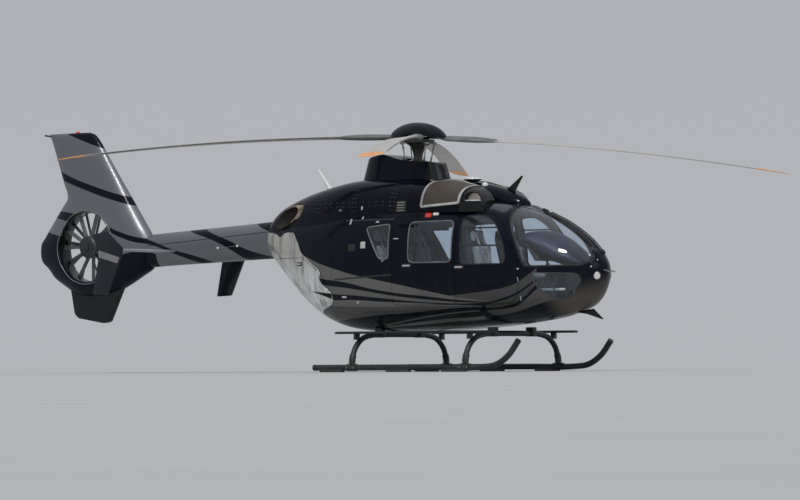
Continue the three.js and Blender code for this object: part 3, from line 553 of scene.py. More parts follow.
# %% Stripe tables
SIDE_X, SIDE_Z = (-1750.0, 2700.0), (500.0, 1700.0)
LOWER_STRIPES = [  # tone, upper edge, lower edge
    (0.95, [(-1600, 1640), (-1482, 1598), (-1252, 1516), (-1034, 1453), (-898, 1419), (-470, 1317), (-223, 1274),
            (332, 1171), (723, 1096), (1195, 1012), (1589, 960), (1750, 940)],
     [(-1600, 1380), (-1179, 1290), (-685, 1226), (-228, 1133), (328, 1055), (716, 1018), (1205, 965),
      (1532, 943), (1750, 938)]),
    (0.9, [(-1700, 1310), (-1113, 1202), (-688, 1156), (-352, 1111), (-70, 1068), (324, 1016), (709, 980),
           (1168, 943), (1600, 925)],
     [(-1700, 1150), (-989, 1074), (-608, 1052), (-273, 1024), (120, 987), (508, 951), (1177, 916), (1600, 920)]),
    (1.0, [(-1700, 1070), (-960, 994), (-535, 988), (-45, 958), (505, 936), (1173, 901), (1565, 890), (1700, 886)],
     [(-1700, 905), (-997, 900), (-514, 886), (60, 879), (495, 881), (1165, 881), (1600, 880), (1700, 884)]),
    (0.55, [(-1700, 905), (-997, 900), (-514, 886), (60, 879), (495, 881), (1165, 881), (1600, 880)],
     [(-1700, 640), (-500, 745), (-143, 772), (263, 791), (663, 817), (1153, 850), (1553, 862)]),
    (0.75, [(-180, 640), (90, 681), (420, 727), (738, 767), (1134, 804), (1539, 829)],
     [(-164, 624), (89, 660), (397, 700), (711, 740), (1109, 780), (1514, 805)]),
    (0.95, [(-203, 620), (166, 650), (589, 690), (986, 718), (1487, 745), (1567, 760)],
     [(-224, 601), (109, 618), (521, 641), (932, 668), (1442, 694), (1567, 705)]),
    (0.6, [(-1100, 560), (41, 575), (488, 612), (861, 618), (1342, 636), (1500, 640)],
     [(-1100, 500), (1500, 500)]),
    (0.42, [(1050, 1020), (1200, 1034), (1468, 1055), (1728, 1081), (1974, 1121), (2153, 1177), (2290, 1261),
            (2400, 1345)],
     [(1050, 1018), (1450, 950), (1697, 929), (1869, 963), (2070, 1019), (2236, 1096), (2361, 1181),
      (2450, 1260)]),
    (0.36, [(1640, 880), (1697, 905), (1869, 938), (2070, 994), (2236, 1071), (2361, 1156), (2440, 1220)],
     [(1640, 850), (1777, 852), (1942, 872), (2100, 918), (2244, 989), (2348, 1074), (2440, 1160)]),
    (0.6, [(1640, 815), (1701, 826), (1892, 838), (2075, 868), (2248, 955), (2374, 1051), (2500, 1150)],
     [(1660, 790), (1722, 751), (1927, 772), (2106, 809), (2310, 865), (2475, 914), (2593, 948), (2690, 980)]),
]
REAR_WEDGE = [(1.0, [(-1400, 1122), (-1180, 1105), (-960, 1082)], [(-1400, 1112), (-1180, 1058), (-960, 998)])]
# The silver area behind the cabin: its front edge, length over height, and its upper edge, height over length
SILVER_X, SILVER_Z = (-2700.0, -600.0), (500.0, 2100.0)
SILVER_FRONT = [(500, -1700), (840, -1300), (905, -1080), (950, -985), (1008, -960), (1104, -991), (1185, -1114),
                (1273, -1197), (1389, -1200), (1500, -1370), (1629, -1563), (1669, -1613), (1790, -1686),
                (1867, -1753), (1945, -1830), (2100, -2050)]
SILVER_TOP = [(-2700, 2010), (-2542, 1992), (-2245, 1925), (-2145, 1892), (-2047, 1940), (-1830, 1946), (-600, 1946)]
TAIL_X, TAIL_Z = (-7100.0, -2200.0), (1000.0, 3600.0)
TAIL_BANDS = [  # upper edge, lower edge
    ([(-7000, 3600), (-5700, 3600)], [(-6900, 3636), (-6499, 3500), (-6213, 3400), (-5836, 3275), (-5700, 3230)]),
    ([(-6900, 3036), (-6618, 2947), (-6277, 2829), (-5969, 2736), (-5644, 2642), (-5200, 2528)],
     [(-6900, 2912), (-6527, 2797), (-6134, 2678), (-5799, 2575), (-5481, 2488), (-5150, 2403)]),
    ([(-7100, 2475), (-6760, 2400), (-6309, 2335), (-6250, 2325), (-6240, 1000)],
     [(-7100, 2330), (-6747, 2277), (-6433, 2219), (-6250, 2190), (-6240, 1000)]),
    ([(-7100, 2120), (-6913, 2077), (-6573, 2008), (-6150, 1920), (-6100, 1700), (-4700, 1700), (-4690, 1000)],
     [(-7100, 1000), (-4700, 1000)]),
    ([(-5610, 1000), (-5600, 2107), (-5439, 2064), (-5143, 1978), (-4866, 1922), (-4364, 1765), (-3915, 1657),
      (-3640, 1560), (-3500, 1500)],
     [(-5610, 1000), (-5600, 2020), (-5388, 1968), (-5137, 1892), (-4779, 1834), (-4312, 1688), (-3974, 1578),
      (-3700, 1480)]),
    ([(-4110, 2180), (-3754, 2031), (-3247, 1863), (-2954, 1742), (-2437, 1605)],
     [(-4500, 2180), (-4104, 2024), (-3564, 1870), (-3210, 1712), (-3052, 1607), (-2900, 1540)]),
    ([(-3000, 2600), (-2200, 2600)], [(-3100, 2230), (-2850, 2105), (-2542, 1992), (-2245, 1925)]),
]
EDGE_SOFTNESS, SILVER_SHARPNESS = 5.0, 400.0

# %% [markdown]
# A Float Curve node holds one edge of a stripe. A point of the skin is inside where it lies below the upper edge and
# above the lower one. The smaller of those two distances, made steep and clamped, is a mask with a clean edge at
# any render size, which a painted picture could not keep close up.

# %% Stripe masks
def edge_curve(tree, fraction, points, x_span, z_span):
    node = tree.nodes.new("ShaderNodeFloatCurve")
    curve = node.mapping.curves[0]
    node.mapping.use_clip = False
    for number, (x, z) in enumerate(points):
        spot = ((x - x_span[0]) / (x_span[1] - x_span[0]), (z - z_span[0]) / (z_span[1] - z_span[0]))
        if number < 2:
            curve.points[number].location = spot
        else:
            curve.points.new(*spot)
    node.mapping.update()
    link(tree, fraction, node.inputs["Value"])
    return node.outputs[0]


def side_shares(tree, x_span, z_span):
    """How far along a table's length and how far up its height a point lies, each from 0 to 1."""
    place = split(tree, object_place(tree))
    return (spread(tree, place["X"], x_span[0] / 1000 + MAST_X, x_span[1] / 1000 + MAST_X, smooth=False),
            spread(tree, place["Z"], z_span[0] / 1000, z_span[1] / 1000, smooth=False))


def make_band_group(name, bands, x_span, z_span):
    tree, _, result = group(name, [], ["Mask"])
    along, height = side_shares(tree, x_span, z_span)
    sharp = (z_span[1] - z_span[0]) / EDGE_SOFTNESS
    total = None
    for tone, upper, lower in bands:
        below = calculate(tree, "SUBTRACT", edge_curve(tree, along, upper, x_span, z_span), height)
        above = calculate(tree, "SUBTRACT", height, edge_curve(tree, along, lower, x_span, z_span))
        both = calculate(tree, "MINIMUM", below, above)
        start = (min(upper[0][0], lower[0][0]) - x_span[0]) / (x_span[1] - x_span[0])
        end = (max(upper[-1][0], lower[-1][0]) - x_span[0]) / (x_span[1] - x_span[0])
        inside = calculate(tree, "MINIMUM", calculate(tree, "SUBTRACT", along, start),
                           calculate(tree, "SUBTRACT", end, along))
        both = calculate(tree, "MINIMUM", both, inside)
        mask = calculate(tree, "MULTIPLY", calculate(tree, "MULTIPLY", both, sharp, clamp=True), tone)
        total = mask if total is None else calculate(tree, "MAXIMUM", total, mask)
    link(tree, total, result["Mask"])
    return tree


def make_rear_silver():
    tree, _, result = group("rear_silver", [], ["Mask"])
    along, height = side_shares(tree, SILVER_X, SILVER_Z)
    front = edge_curve(tree, height, SILVER_FRONT, SILVER_Z, SILVER_X)
    top = edge_curve(tree, along, SILVER_TOP, SILVER_X, SILVER_Z)
    behind = calculate(tree, "SUBTRACT", front, along)
    under = calculate(tree, "SUBTRACT", top, height)
    sharp = calculate(tree, "MULTIPLY", calculate(tree, "MINIMUM", behind, under), SILVER_SHARPNESS, clamp=True)
    outside_wedge = calculate(tree, "SUBTRACT", 1.0, use_group(tree, "rear_wedge"))
    link(tree, calculate(tree, "MULTIPLY", sharp, outside_wedge), result["Mask"])
    return tree


GROUPS["lower_stripes"] = make_band_group("lower_stripes", LOWER_STRIPES, SIDE_X, SIDE_Z)
GROUPS["tail_bands"] = make_band_group("tail_bands", [(1.0, *band) for band in TAIL_BANDS], TAIL_X, TAIL_Z)
GROUPS["rear_wedge"] = make_band_group("rear_wedge", REAR_WEDGE, SIDE_X, SIDE_Z)
GROUPS["rear_silver"] = make_rear_silver()
print(len(GROUPS), "node groups;", len(LOWER_STRIPES), "stripes and", len(TAIL_BANDS), "tail bands")

# %% [markdown]
# The finishes. Gloss paint is a dark base under a clear coat with a very slight orange peel; silver paint has
# fine metallic flakes; the blades are satin composite; glass is a faintly blue acrylic. The fuselage's paint
# lays its layers in this order: navy, stripes, a painted reflection of the pale ground on the faces under the
# nose, the bare metal area behind with its brown streaks, and dust over all of it. The dust's amount is raised
# so that it also paints the ground's reflection on the belly.

# %% Paint
NAVY = (0.0022, 0.0038, 0.0098)
BLACK_PAINT = (0.0035, 0.0038, 0.0046)
STRIPE_GREY = (0.16, 0.155, 0.15)
SILVER = (0.2, 0.205, 0.22)
# The dust colour below is also used for the painted reflection of the ground under the nose.
DUST_AND_REFLECTION_TONE = (0.13, 0.115, 0.095)
REAR_SILVER = (0.58, 0.565, 0.53)
STREAK_BROWN = (0.2, 0.18, 0.15)
LOW_SILVER = (0.93, 0.94, 0.95)
NOSE_REFLECTION_X = (3.75, 4.05)


def make_fuselage_paint():
    material, tree, shader = new_material("fuselage_paint", NAVY, 0.2, Coat_Weight=0.18, Coat_Roughness=0.02,
                                          Coat_IOR=1.5, Specular_IOR_Level=0.05)
    stripes = use_group(tree, "lower_stripes")
    rear = use_group(tree, "rear_silver")
    place = split(tree, object_place(tree))
    # Painted reflection: faces that look down under the nose are mixed towards the dust colour, standing for the pale
    # ground's reflection.
    underside = spread(tree, split(tree, surface_normal(tree))["Z"], -0.05, -0.65, 0.0, 0.7)
    nose_ground_reflection = calculate(tree, "MULTIPLY", underside, spread(tree, place["X"], *NOSE_REFLECTION_X))
    striped = mixed(tree, nose_ground_reflection, mixed(tree, stripes, NAVY, STRIPE_GREY), DUST_AND_REFLECTION_TONE)
    drawn_out = tree.nodes.new("ShaderNodeMapping")
    drawn_out.inputs["Scale"].default_value = (9.0, 9.0, 0.8)
    link(tree, object_place(tree), drawn_out.inputs["Vector"])
    streaks = spread(tree, noise(tree, drawn_out.outputs[0], 1.0, 7.0, 0.68), 0.42, 0.68)
    clean = mixed(tree, spread(tree, place["Z"], 1.75, 0.95), REAR_SILVER, LOW_SILVER)
    streaked = mixed(tree, calculate(tree, "MULTIPLY", streaks, 0.75), clean, STREAK_BROWN)
    silvered = mixed(tree, rear, striped, streaked)
    # Dust low down and on top faces, partly real dust: its amount is raised so that it also paints the pale ground's
    # reflection on the belly and lower nose.
    dust_and_belly_reflection = mixed(tree, use_group(tree, "settled_dust", Amount=0.27, Height=1.4), silvered, DUST_AND_REFLECTION_TONE)
    link(tree, dust_and_belly_reflection, shader.inputs["Base Color"])
    metal = calculate(tree, "MAXIMUM", rear, calculate(tree, "MULTIPLY", stripes, 0.6))
    link(tree, calculate(tree, "MULTIPLY", metal, 0.8), shader.inputs["Metallic"])
    link(tree, use_group(tree, "uneven_gloss", Scale=2.0, Low=0.16, High=0.3), shader.inputs["Roughness"])
    add_bump(tree, shader, use_group(tree, "fine_grain", Scale=90.0, Depth=1.0), 0.04, 0.0006)
    return material


def make_tail_paint():
    material, tree, shader = new_material("tail_paint", SILVER, 0.3, 0.8, Coat_Weight=0.12, Coat_Roughness=0.05,
                                          Specular_IOR_Level=0.08)
    bands = use_group(tree, "tail_bands")
    banded = mixed(tree, bands, SILVER, NAVY)
    link(tree, mixed(tree, use_group(tree, "settled_dust", Amount=0.03, Height=2.0), banded, DUST_AND_REFLECTION_TONE),
         shader.inputs["Base Color"])
    link(tree, calculate(tree, "MULTIPLY_ADD", bands, -0.85, 0.85), shader.inputs["Metallic"])
    link(tree, use_group(tree, "uneven_gloss", Scale=3.0, Low=0.36, High=0.46), shader.inputs["Roughness"])
    add_bump(tree, shader, use_group(tree, "fine_grain", Scale=900.0, Depth=1.0), 0.06, 0.0004)
    return material

# %% [markdown]
# One recipe serves the plain finishes: a base colour in broad lighter and darker areas, dust, worn edges where a part
# is handled, an uneven gloss and a fine grain. Glass, leather and the intakes' wire mesh have recipes of their own.
# Glass lets light straight through for shadows, because the cabin would be too dark otherwise.

# %% Plain finishes, glass, leather and wire mesh
def make_plain(name, color, low, high, metallic=0.0, grain=300.0, bump=0.1, depth=0.0006, dust=0.1, wear=0.0,
               wear_color=(0.3, 0.29, 0.27), height=1.2, mottle=0.12, **constants):
    material, tree, shader = new_material(name, color, (low + high) / 2, metallic, **constants)
    darker = tuple(v * (1 - mottle * 2.2) for v in color)
    lighter = tuple(min(1.0, v * (1 + mottle)) for v in color)
    shade = mixed(tree, spread(tree, noise(tree, object_place(tree), 7.0, 6.0, 0.62), 0.3, 0.7), darker, lighter)
    shade = mixed(tree, use_group(tree, "settled_dust", Amount=dust, Height=height), shade, DUST_AND_REFLECTION_TONE)
    if wear:
        shade = mixed(tree, use_group(tree, "edge_wear", Radius=0.003, Amount=wear), shade, wear_color)
    link(tree, shade, shader.inputs["Base Color"])
    link(tree, use_group(tree, "uneven_gloss", Scale=5.0, Low=low, High=high), shader.inputs["Roughness"])
    add_bump(tree, shader, use_group(tree, "fine_grain", Scale=grain, Depth=1.0), bump, depth)
    return material


def make_glass(name, color):
    material, tree, shader = new_material(name, color, 0.0, Transmission_Weight=1.0, IOR=1.45)
    link(tree, mixed(tree, spread(tree, noise(tree, object_place(tree), 3.0), 0.3, 0.7),
                     tuple(v * 0.92 for v in color), color), shader.inputs["Base Color"])
    output = next(n for n in tree.nodes if n.type == "OUTPUT_MATERIAL")
    clear = tree.nodes.new("ShaderNodeBsdfTransparent")
    clear.inputs[0].default_value = (*color, 1.0)
    blend = tree.nodes.new("ShaderNodeMixShader")
    link(tree, tree.nodes.new("ShaderNodeLightPath").outputs["Is Shadow Ray"], blend.inputs[0])
    link(tree, shader.outputs[0], blend.inputs[1])
    link(tree, clear.outputs[0], blend.inputs[2])
    link(tree, blend.outputs[0], output.inputs["Surface"])
    return material


def make_leather():
    material, tree, shader = new_material("seat_leather", (0.24, 0.22, 0.195), 0.5, Sheen_Weight=0.15)
    cells = tree.nodes.new("ShaderNodeTexVoronoi")
    cells.inputs["Scale"].default_value = 260.0
    link(tree, object_place(tree), cells.inputs["Vector"])
    tone = spread(tree, noise(tree, object_place(tree), 9.0, 5.0, 0.6), 0.3, 0.7)
    link(tree, mixed(tree, tone, (0.25, 0.235, 0.21), (0.36, 0.34, 0.31)), shader.inputs["Base Color"])
    link(tree, use_group(tree, "uneven_gloss", Scale=8.0, Low=0.38, High=0.58), shader.inputs["Roughness"])
    add_bump(tree, shader, cells.outputs["Distance"], 0.35, 0.0012)
    return material


def make_intake_mesh():
    material, tree, shader = new_material("intake_mesh", (0.14, 0.12, 0.09), 0.55, 0.4)
    place = object_place(tree)
    waves = []
    for direction in ("X", "Z"):
        wave = tree.nodes.new("ShaderNodeTexWave")
        wave.bands_direction = direction
        wave.inputs["Scale"].default_value = 38.0
        link(tree, place, wave.inputs["Vector"])
        waves.append(wave.outputs["Fac"])
    weave = calculate(tree, "MULTIPLY", *waves)
    dirt = spread(tree, noise(tree, place, 6.0, 6.0, 0.65), 0.3, 0.7)
    wires = mixed(tree, weave, (0.1, 0.083, 0.064), (0.032, 0.027, 0.022))
    grimy = mixed(tree, calculate(tree, "MULTIPLY", dirt, 0.4), wires, (0.08, 0.068, 0.055))
    link(tree, grimy, shader.inputs["Base Color"])
    link(tree, use_group(tree, "uneven_gloss", Scale=6.0, Low=0.45, High=0.65), shader.inputs["Roughness"])
    add_bump(tree, shader, weave, 0.5, 0.002)
    return material

# %% [markdown]
# The table of finishes, by the short names that the pieces use. Each takes its numbers from the look of the real
# part: how dark, how glossy, how dusty and how worn it is.

# %% Table of finishes
MAT = {
    "fuselage": make_fuselage_paint(),
    "tail": make_tail_paint(),
    "navy": make_plain("navy_paint", NAVY, 0.14, 0.26, grain=90.0, bump=0.04, dust=0.015, height=0.5,
                       Coat_Weight=0.18, Coat_Roughness=0.02, Specular_IOR_Level=0.05),
    "black": make_plain("black_paint", BLACK_PAINT, 0.22, 0.36, grain=120.0, bump=0.05, dust=0.04, height=1.6,
                        Coat_Weight=0.3, Coat_Roughness=0.06, Specular_IOR_Level=0.2),
    "gear": make_plain("gear_paint", (0.008, 0.013, 0.015), 0.34, 0.5, grain=220.0, bump=0.12, dust=0.3, wear=0.35,
                       height=0.5),
    "cap": make_plain("rotor_cap_paint", (0.002, 0.0034, 0.0078), 0.3, 0.42, grain=90.0, bump=0.04, dust=0.0,
                      Specular_IOR_Level=0.1),
    "satin": make_plain("fairing_satin_black", (0.004, 0.004, 0.004), 0.2, 0.26, grain=90.0, bump=0.04, dust=0.02,
                        Specular_IOR_Level=0.35),
    "scoop": make_plain("scoop_lining", (0.3, 0.28, 0.25), 0.5, 0.65, grain=200.0, bump=0.2, dust=0.3, height=4.0),
    "rubber": make_plain("rubber_seal", (0.012, 0.012, 0.012), 0.55, 0.75, grain=500.0, bump=0.15, dust=0.12),
    "hood": make_plain("glare_shield_cover", (0.009, 0.0125, 0.024), 0.42, 0.5, grain=60.0, bump=0.02, dust=0.0,
                       Specular_IOR_Level=0.3),
    "trim": make_plain("satin_black_trim", (0.016, 0.017, 0.019), 0.4, 0.55, grain=500.0, bump=0.15),
    "steel": make_plain("machined_steel", (0.38, 0.37, 0.35), 0.26, 0.42, 0.95, grain=400.0, wear=0.2,
                        wear_color=(0.6, 0.58, 0.55)),
    "dark_steel": make_plain("dark_steel", (0.09, 0.088, 0.085), 0.35, 0.5, 0.8, grain=300.0, wear=0.3),
    "chrome": make_plain("polished_metal", (0.72, 0.72, 0.72), 0.1, 0.2, 1.0, grain=300.0, bump=0.03, mottle=0.04),
    "exhaust": make_plain("stained_steel", (0.42, 0.335, 0.25), 0.28, 0.5, 0.85, grain=60.0, bump=0.25,
                          depth=0.002, mottle=0.3),
    "soot": make_plain("sooty_steel", (0.022, 0.017, 0.013), 0.55, 0.75, 0.3, grain=60.0, bump=0.25, mottle=0.3),
    "frame_grey": make_plain("window_frame_grey", (0.2, 0.205, 0.21), 0.25, 0.4, 0.4, grain=400.0, dust=0.0),
    "frame_dark": make_plain("window_frame_dark", (0.07, 0.07, 0.068), 0.3, 0.45, 0.3, grain=400.0, dust=0.0),
    "grey": make_plain("light_grey_trim", (0.5, 0.49, 0.47), 0.35, 0.5, grain=400.0, dust=0.2, height=4.0),
    "white": make_plain("white_gloss", (0.78, 0.78, 0.76), 0.2, 0.35, grain=300.0, bump=0.04, mottle=0.05,
                        Coat_Weight=0.4),
    "blade": make_plain("blade_composite", (0.5, 0.475, 0.44), 0.36, 0.5, grain=500.0, bump=0.06, mottle=0.08,
                        height=0.1),
    "blade_edge": make_plain("blade_edge_shield", (0.16, 0.155, 0.145), 0.3, 0.45, 0.7, grain=500.0, bump=0.06,
                             height=0.1),
    "tip": make_plain("blade_tip_orange", (0.85, 0.38, 0.1), 0.35, 0.5, grain=500.0, bump=0.06, mottle=0.08,
                      height=0.1),
    "cuff": make_plain("cuff_composite", (0.13, 0.132, 0.13), 0.38, 0.52, grain=400.0, bump=0.1, wear=0.2, height=0.1),
    "fan": make_plain("fan_alloy", (0.13, 0.13, 0.133), 0.3, 0.46, 0.6, grain=350.0, wear=0.3,
                      wear_color=(0.5, 0.5, 0.5)),
    "cabin": make_plain("cabin_plastic", (0.06, 0.06, 0.062), 0.55, 0.7, grain=700.0, bump=0.25, dust=0.0),
    "liner": make_plain("cabin_liner", (0.4, 0.39, 0.37), 0.6, 0.8, grain=700.0, bump=0.2, dust=0.0),
    "carpet": make_plain("cabin_carpet", (0.045, 0.045, 0.048), 0.85, 0.95, grain=900.0, bump=0.7, depth=0.003,
                         dust=0.0),
    "screen": make_plain("display_glass", (0.01, 0.012, 0.014), 0.06, 0.12, dust=0.0, bump=0.01),
    "webbing": make_plain("belt_webbing", (0.4, 0.385, 0.35), 0.7, 0.85, grain=1200.0, bump=0.5, dust=0.0),
    "leather": make_leather(),
    "mesh": make_intake_mesh(),
    "glass": make_glass("window_glass", (0.77, 0.86, 0.95)),
    "front_glass": make_glass("windscreen_glass", (0.84, 0.91, 0.99)),
    "roof_glass": make_glass("roof_window_glass", (0.36, 0.44, 0.58)),
    "clear": make_glass("lamp_glass", (0.95, 0.95, 0.95)),
    "silver": make_plain("silver_paint", (0.3, 0.3, 0.31), 0.26, 0.4, 0.75, grain=900.0, bump=0.06, depth=0.0004,
                         dust=0.12, height=3.0, mottle=0.05, Coat_Weight=0.7, Coat_Roughness=0.05),
    "end_plate": make_plain("end_plate_paint", (0.012, 0.014, 0.02), 0.2, 0.34, grain=90.0, bump=0.04, dust=0.12,
                            height=0.6, Coat_Weight=0.3, Coat_Roughness=0.04, Specular_IOR_Level=0.2),
    "stator": make_plain("stator_paint", (0.12, 0.122, 0.128), 0.32, 0.48, 0.35, grain=350.0, dust=0.2, height=3.0),
    "red_lamp": make_plain("red_lamp", (0.75, 0.03, 0.015), 0.15, 0.3, dust=0.0, mottle=0.05, Coat_Weight=0.5),
    "green_lamp": make_plain("green_lamp", (0.02, 0.4, 0.1), 0.15, 0.3, dust=0.0, mottle=0.05, Coat_Weight=0.5),
}
print(len(MAT), "materials")

# %% [markdown]
# The fuselage pod. One smooth hull from nose to boom root, an inner hull 45 mm inside it, and between them the
# panels: cabin shell, doors, rear fuselage and the two clamshell doors. The windows are thin curved panes
# from two more hulls just under the skin.

# %% Pod hulls
POD_STATIONS = [  # x, half width, bottom, top, widest height, squareness of the lower and upper half
    (3171, 10, 1324, 1346, 1335, 2.0, 2.0),
    (3165, 45, 1270, 1400, 1335, 2.0, 2.0),
    (3125, 150, 1150, 1490, 1330, 2.0, 2.0),
    (3035, 265, 985, 1610, 1320, 2.1, 2.0),
    (2900, 375, 865, 1745, 1305, 2.2, 2.0),
    (2700, 490, 790, 1890, 1300, 2.3, 2.0),
    (2450, 590, 730, 2030, 1300, 2.5, 2.05),
    (2150, 675, 685, 2160, 1305, 2.7, 2.2),
    (1800, 735, 645, 2265, 1320, 2.9, 2.5),
    (1400, 770, 610, 2325, 1350, 3.1, 2.8),
    (950, 782, 580, 2350, 1350, 3.2, 3.1),
    (300, 785, 560, 2360, 1350, 3.3, 3.3),
    (-300, 785, 555, 2360, 1350, 3.3, 3.3),
    (-800, 760, 575, 2350, 1360, 3.0, 3.1),
    (-1150, 715, 640, 2330, 1400, 2.7, 2.9),
    (-1500, 640, 780, 2300, 1480, 2.5, 2.7),
    (-1850, 540, 1010, 2260, 1600, 2.3, 2.5),
    (-2200, 400, 1320, 2200, 1740, 2.2, 2.3),
    (-2500, 262, 1575, 2140, 1855, 2.0, 2.0),
]
COWL_STATIONS = [  # x, half width, top, squareness
    (540, 640, 2625, 3.4),
    (100, 655, 2650, 3.4),
    (-450, 655, 2662, 3.3),
    (-900, 640, 2645, 3.2),
    (-1300, 590, 2585, 3.0),
    (-1700, 505, 2500, 2.8),
    (-2100, 390, 2385, 2.5),
    (-2400, 290, 2245, 2.2),
    (-2500, 240, 2160, 2.0),
]
COWL_BASE_Z, DECK_Z = 1950.0, 2160.0
WALL, COWL_WALL = 45.0, 22.0
REAR_FRAME_X, COWL_FRONT_X = -950.0, 540.0
NOSE_START_X, NOSE_X = 2100.0, 3171.0
HULL_RING = 112
pod_rows = spline_rows(POD_STATIONS, 7)
cowl_rows = spline_rows(COWL_STATIONS, 8)


def pod_hull(name, inset, ring=HULL_RING):
    rings = []
    for x, half, bottom, top, widest, lower, upper in pod_rows:
        if half - inset < 4:
            continue
        nose = min(1.0, max(0.0, (x - NOSE_START_X) / (NOSE_X - NOSE_START_X)))
        section = egg_section(half - inset, bottom + inset, top - inset, widest, lower, upper, ring)
        rings.append(np.column_stack([np.full(len(section), x - inset * nose), section]))
    return make_object(name, *skin(rings))


def cowl_hull(name, inset, ring=HULL_RING):
    rings = []
    for number, (x, half, top, squareness) in enumerate(cowl_rows):
        end = inset if number == 0 else 0
        section = egg_section(half - inset, COWL_BASE_Z - 200, top - inset, COWL_BASE_Z, 2.0, squareness, ring)
        rings.append(np.column_stack([np.full(len(section), x - end), section]))
    return make_object(name, *skin(rings))


pod_tool = pod_hull("pod_tool", 0)
pod_inner_tool = pod_hull("pod_inner_tool", WALL, 64)
POD = Hull(pod_tool)
POD_INSIDE = Hull(pod_inner_tool)
pod_shell = carve(copy_of(pod_tool, "pod_shell"), pod_inner_tool, keep=True)
glass_out = pod_hull("glass_out", 3)
glass_shell = carve(copy_of(glass_out, "glass_shell"), pod_hull("glass_in", 9))
GLASS = Hull(glass_out)
print("pod shell", len(pod_shell.data.polygons), "faces; glass shell", len(glass_shell.data.polygons))

# %% [markdown]
# Door, window and seam outlines in side view, the same ones as in the CAD. Corners are rounded with more steps
# here, so a window's corner is a true curve.

# %% Panel outlines
WINDSCREEN = [(1905, 2600), (1905, 2195), (1925, 2060), (2065, 1800), (2165, 1600), (2265, 1395), (2960, 1405),
              (3085, 1470), (3300, 1470), (3300, 2600)]
ROOF_WINDOW = [(1400, 2600), (1400, 2215), (1640, 2175), (1840, 2110), (1840, 2600)]
CHIN_WINDOW = [(2345, 1315), (2945, 1300), (2975, 1200), (2810, 960), (2600, 950), (2440, 1120)]
FRONT_DOOR = [(1210, 900), (1210, 2180), (1440, 2170), (1680, 2120), (1850, 2030), (2010, 1780), (2100, 1600),
              (2195, 1380), (2205, 1150), (2120, 960), (2020, 900)]
FRONT_DOOR_WINDOW = [(1290, 1440), (1270, 2090), (1500, 2105), (1640, 2075), (1790, 1965), (1935, 1730),
                     (1990, 1560), (1990, 1440)]
SLIDING_DOOR = [(135, 900), (135, 2120), (1190, 2120), (1190, 900)]
SLIDING_DOOR_WINDOW = [(415, 1480), (405, 2030), (1140, 2040), (1150, 1475)]
REAR_WINDOW = [(-85, 1535), (-345, 1975), (70, 2015), (75, 1535)]
POST_FRONT_VIEW = [(-235, 1300), (-235, 1395), (-120, 1540), (-62, 1750), (-48, 2100), (-42, 2700),
                   (42, 2700), (48, 2100), (62, 1750), (120, 1540), (235, 1395), (235, 1300)]
CLAMSHELL = [(-1570, 1590), (-1205, 1385), (-1000, 1105), (-1000, 500), (-2700, 500), (-2700, 1590)]
GAP = 6.0
WINDOW_CORNER = 75.0


def side_prism(points, side, near, far, radius=0.0):
    ends = (side * near, side * far) if side > 0 else (-far, -near)
    return prism("side", points, *ends, radius=radius, steps=8)


def clamshell_outline(gap):
    return [(x - 1.2 * gap if x > -2700 else x, z - gap if z > 1000 else z) for x, z in CLAMSHELL]


def windscreen_tool(side, gap):
    tool = side_prism(grown(WINDSCREEN, -gap), side, 1, 1200, 30)
    post = [(y + math.copysign(gap, y), z) for y, z in POST_FRONT_VIEW]
    return carve(tool, prism("front", post, 1000, 3400))


WINDOWS = {
    "windscreen": windscreen_tool,
    "roof_window": lambda side, gap: side_prism(grown(ROOF_WINDOW, -gap), side, 90 + gap, 560 - gap, 50),
    "chin_window": lambda side, gap: side_prism(grown(CHIN_WINDOW, -gap), side, 170 + gap, 1200, 60),
    "rear_window": lambda side, gap: side_prism(grown(REAR_WINDOW, -gap), side, 60, 1200, 45),
}
DOOR_WINDOWS = {
    "front_door": (FRONT_DOOR, 60, FRONT_DOOR_WINDOW),
    "sliding_door": (SLIDING_DOOR, 60, SLIDING_DOOR_WINDOW),
}

# %% [markdown]
# On the real aircraft each door leaves a narrow, even gap. So a panel is pressed out of the hull with its outline
# drawn in by that gap, and its hole with the full outline. Patches modelled one by one could meet badly at a
# seam, but pieces cut from one hull keep its curve on both sides.

# %% Cut the panels
def pane_body(title):
    return title.replace("_window", "") if title.startswith("front_door") else "airframe"


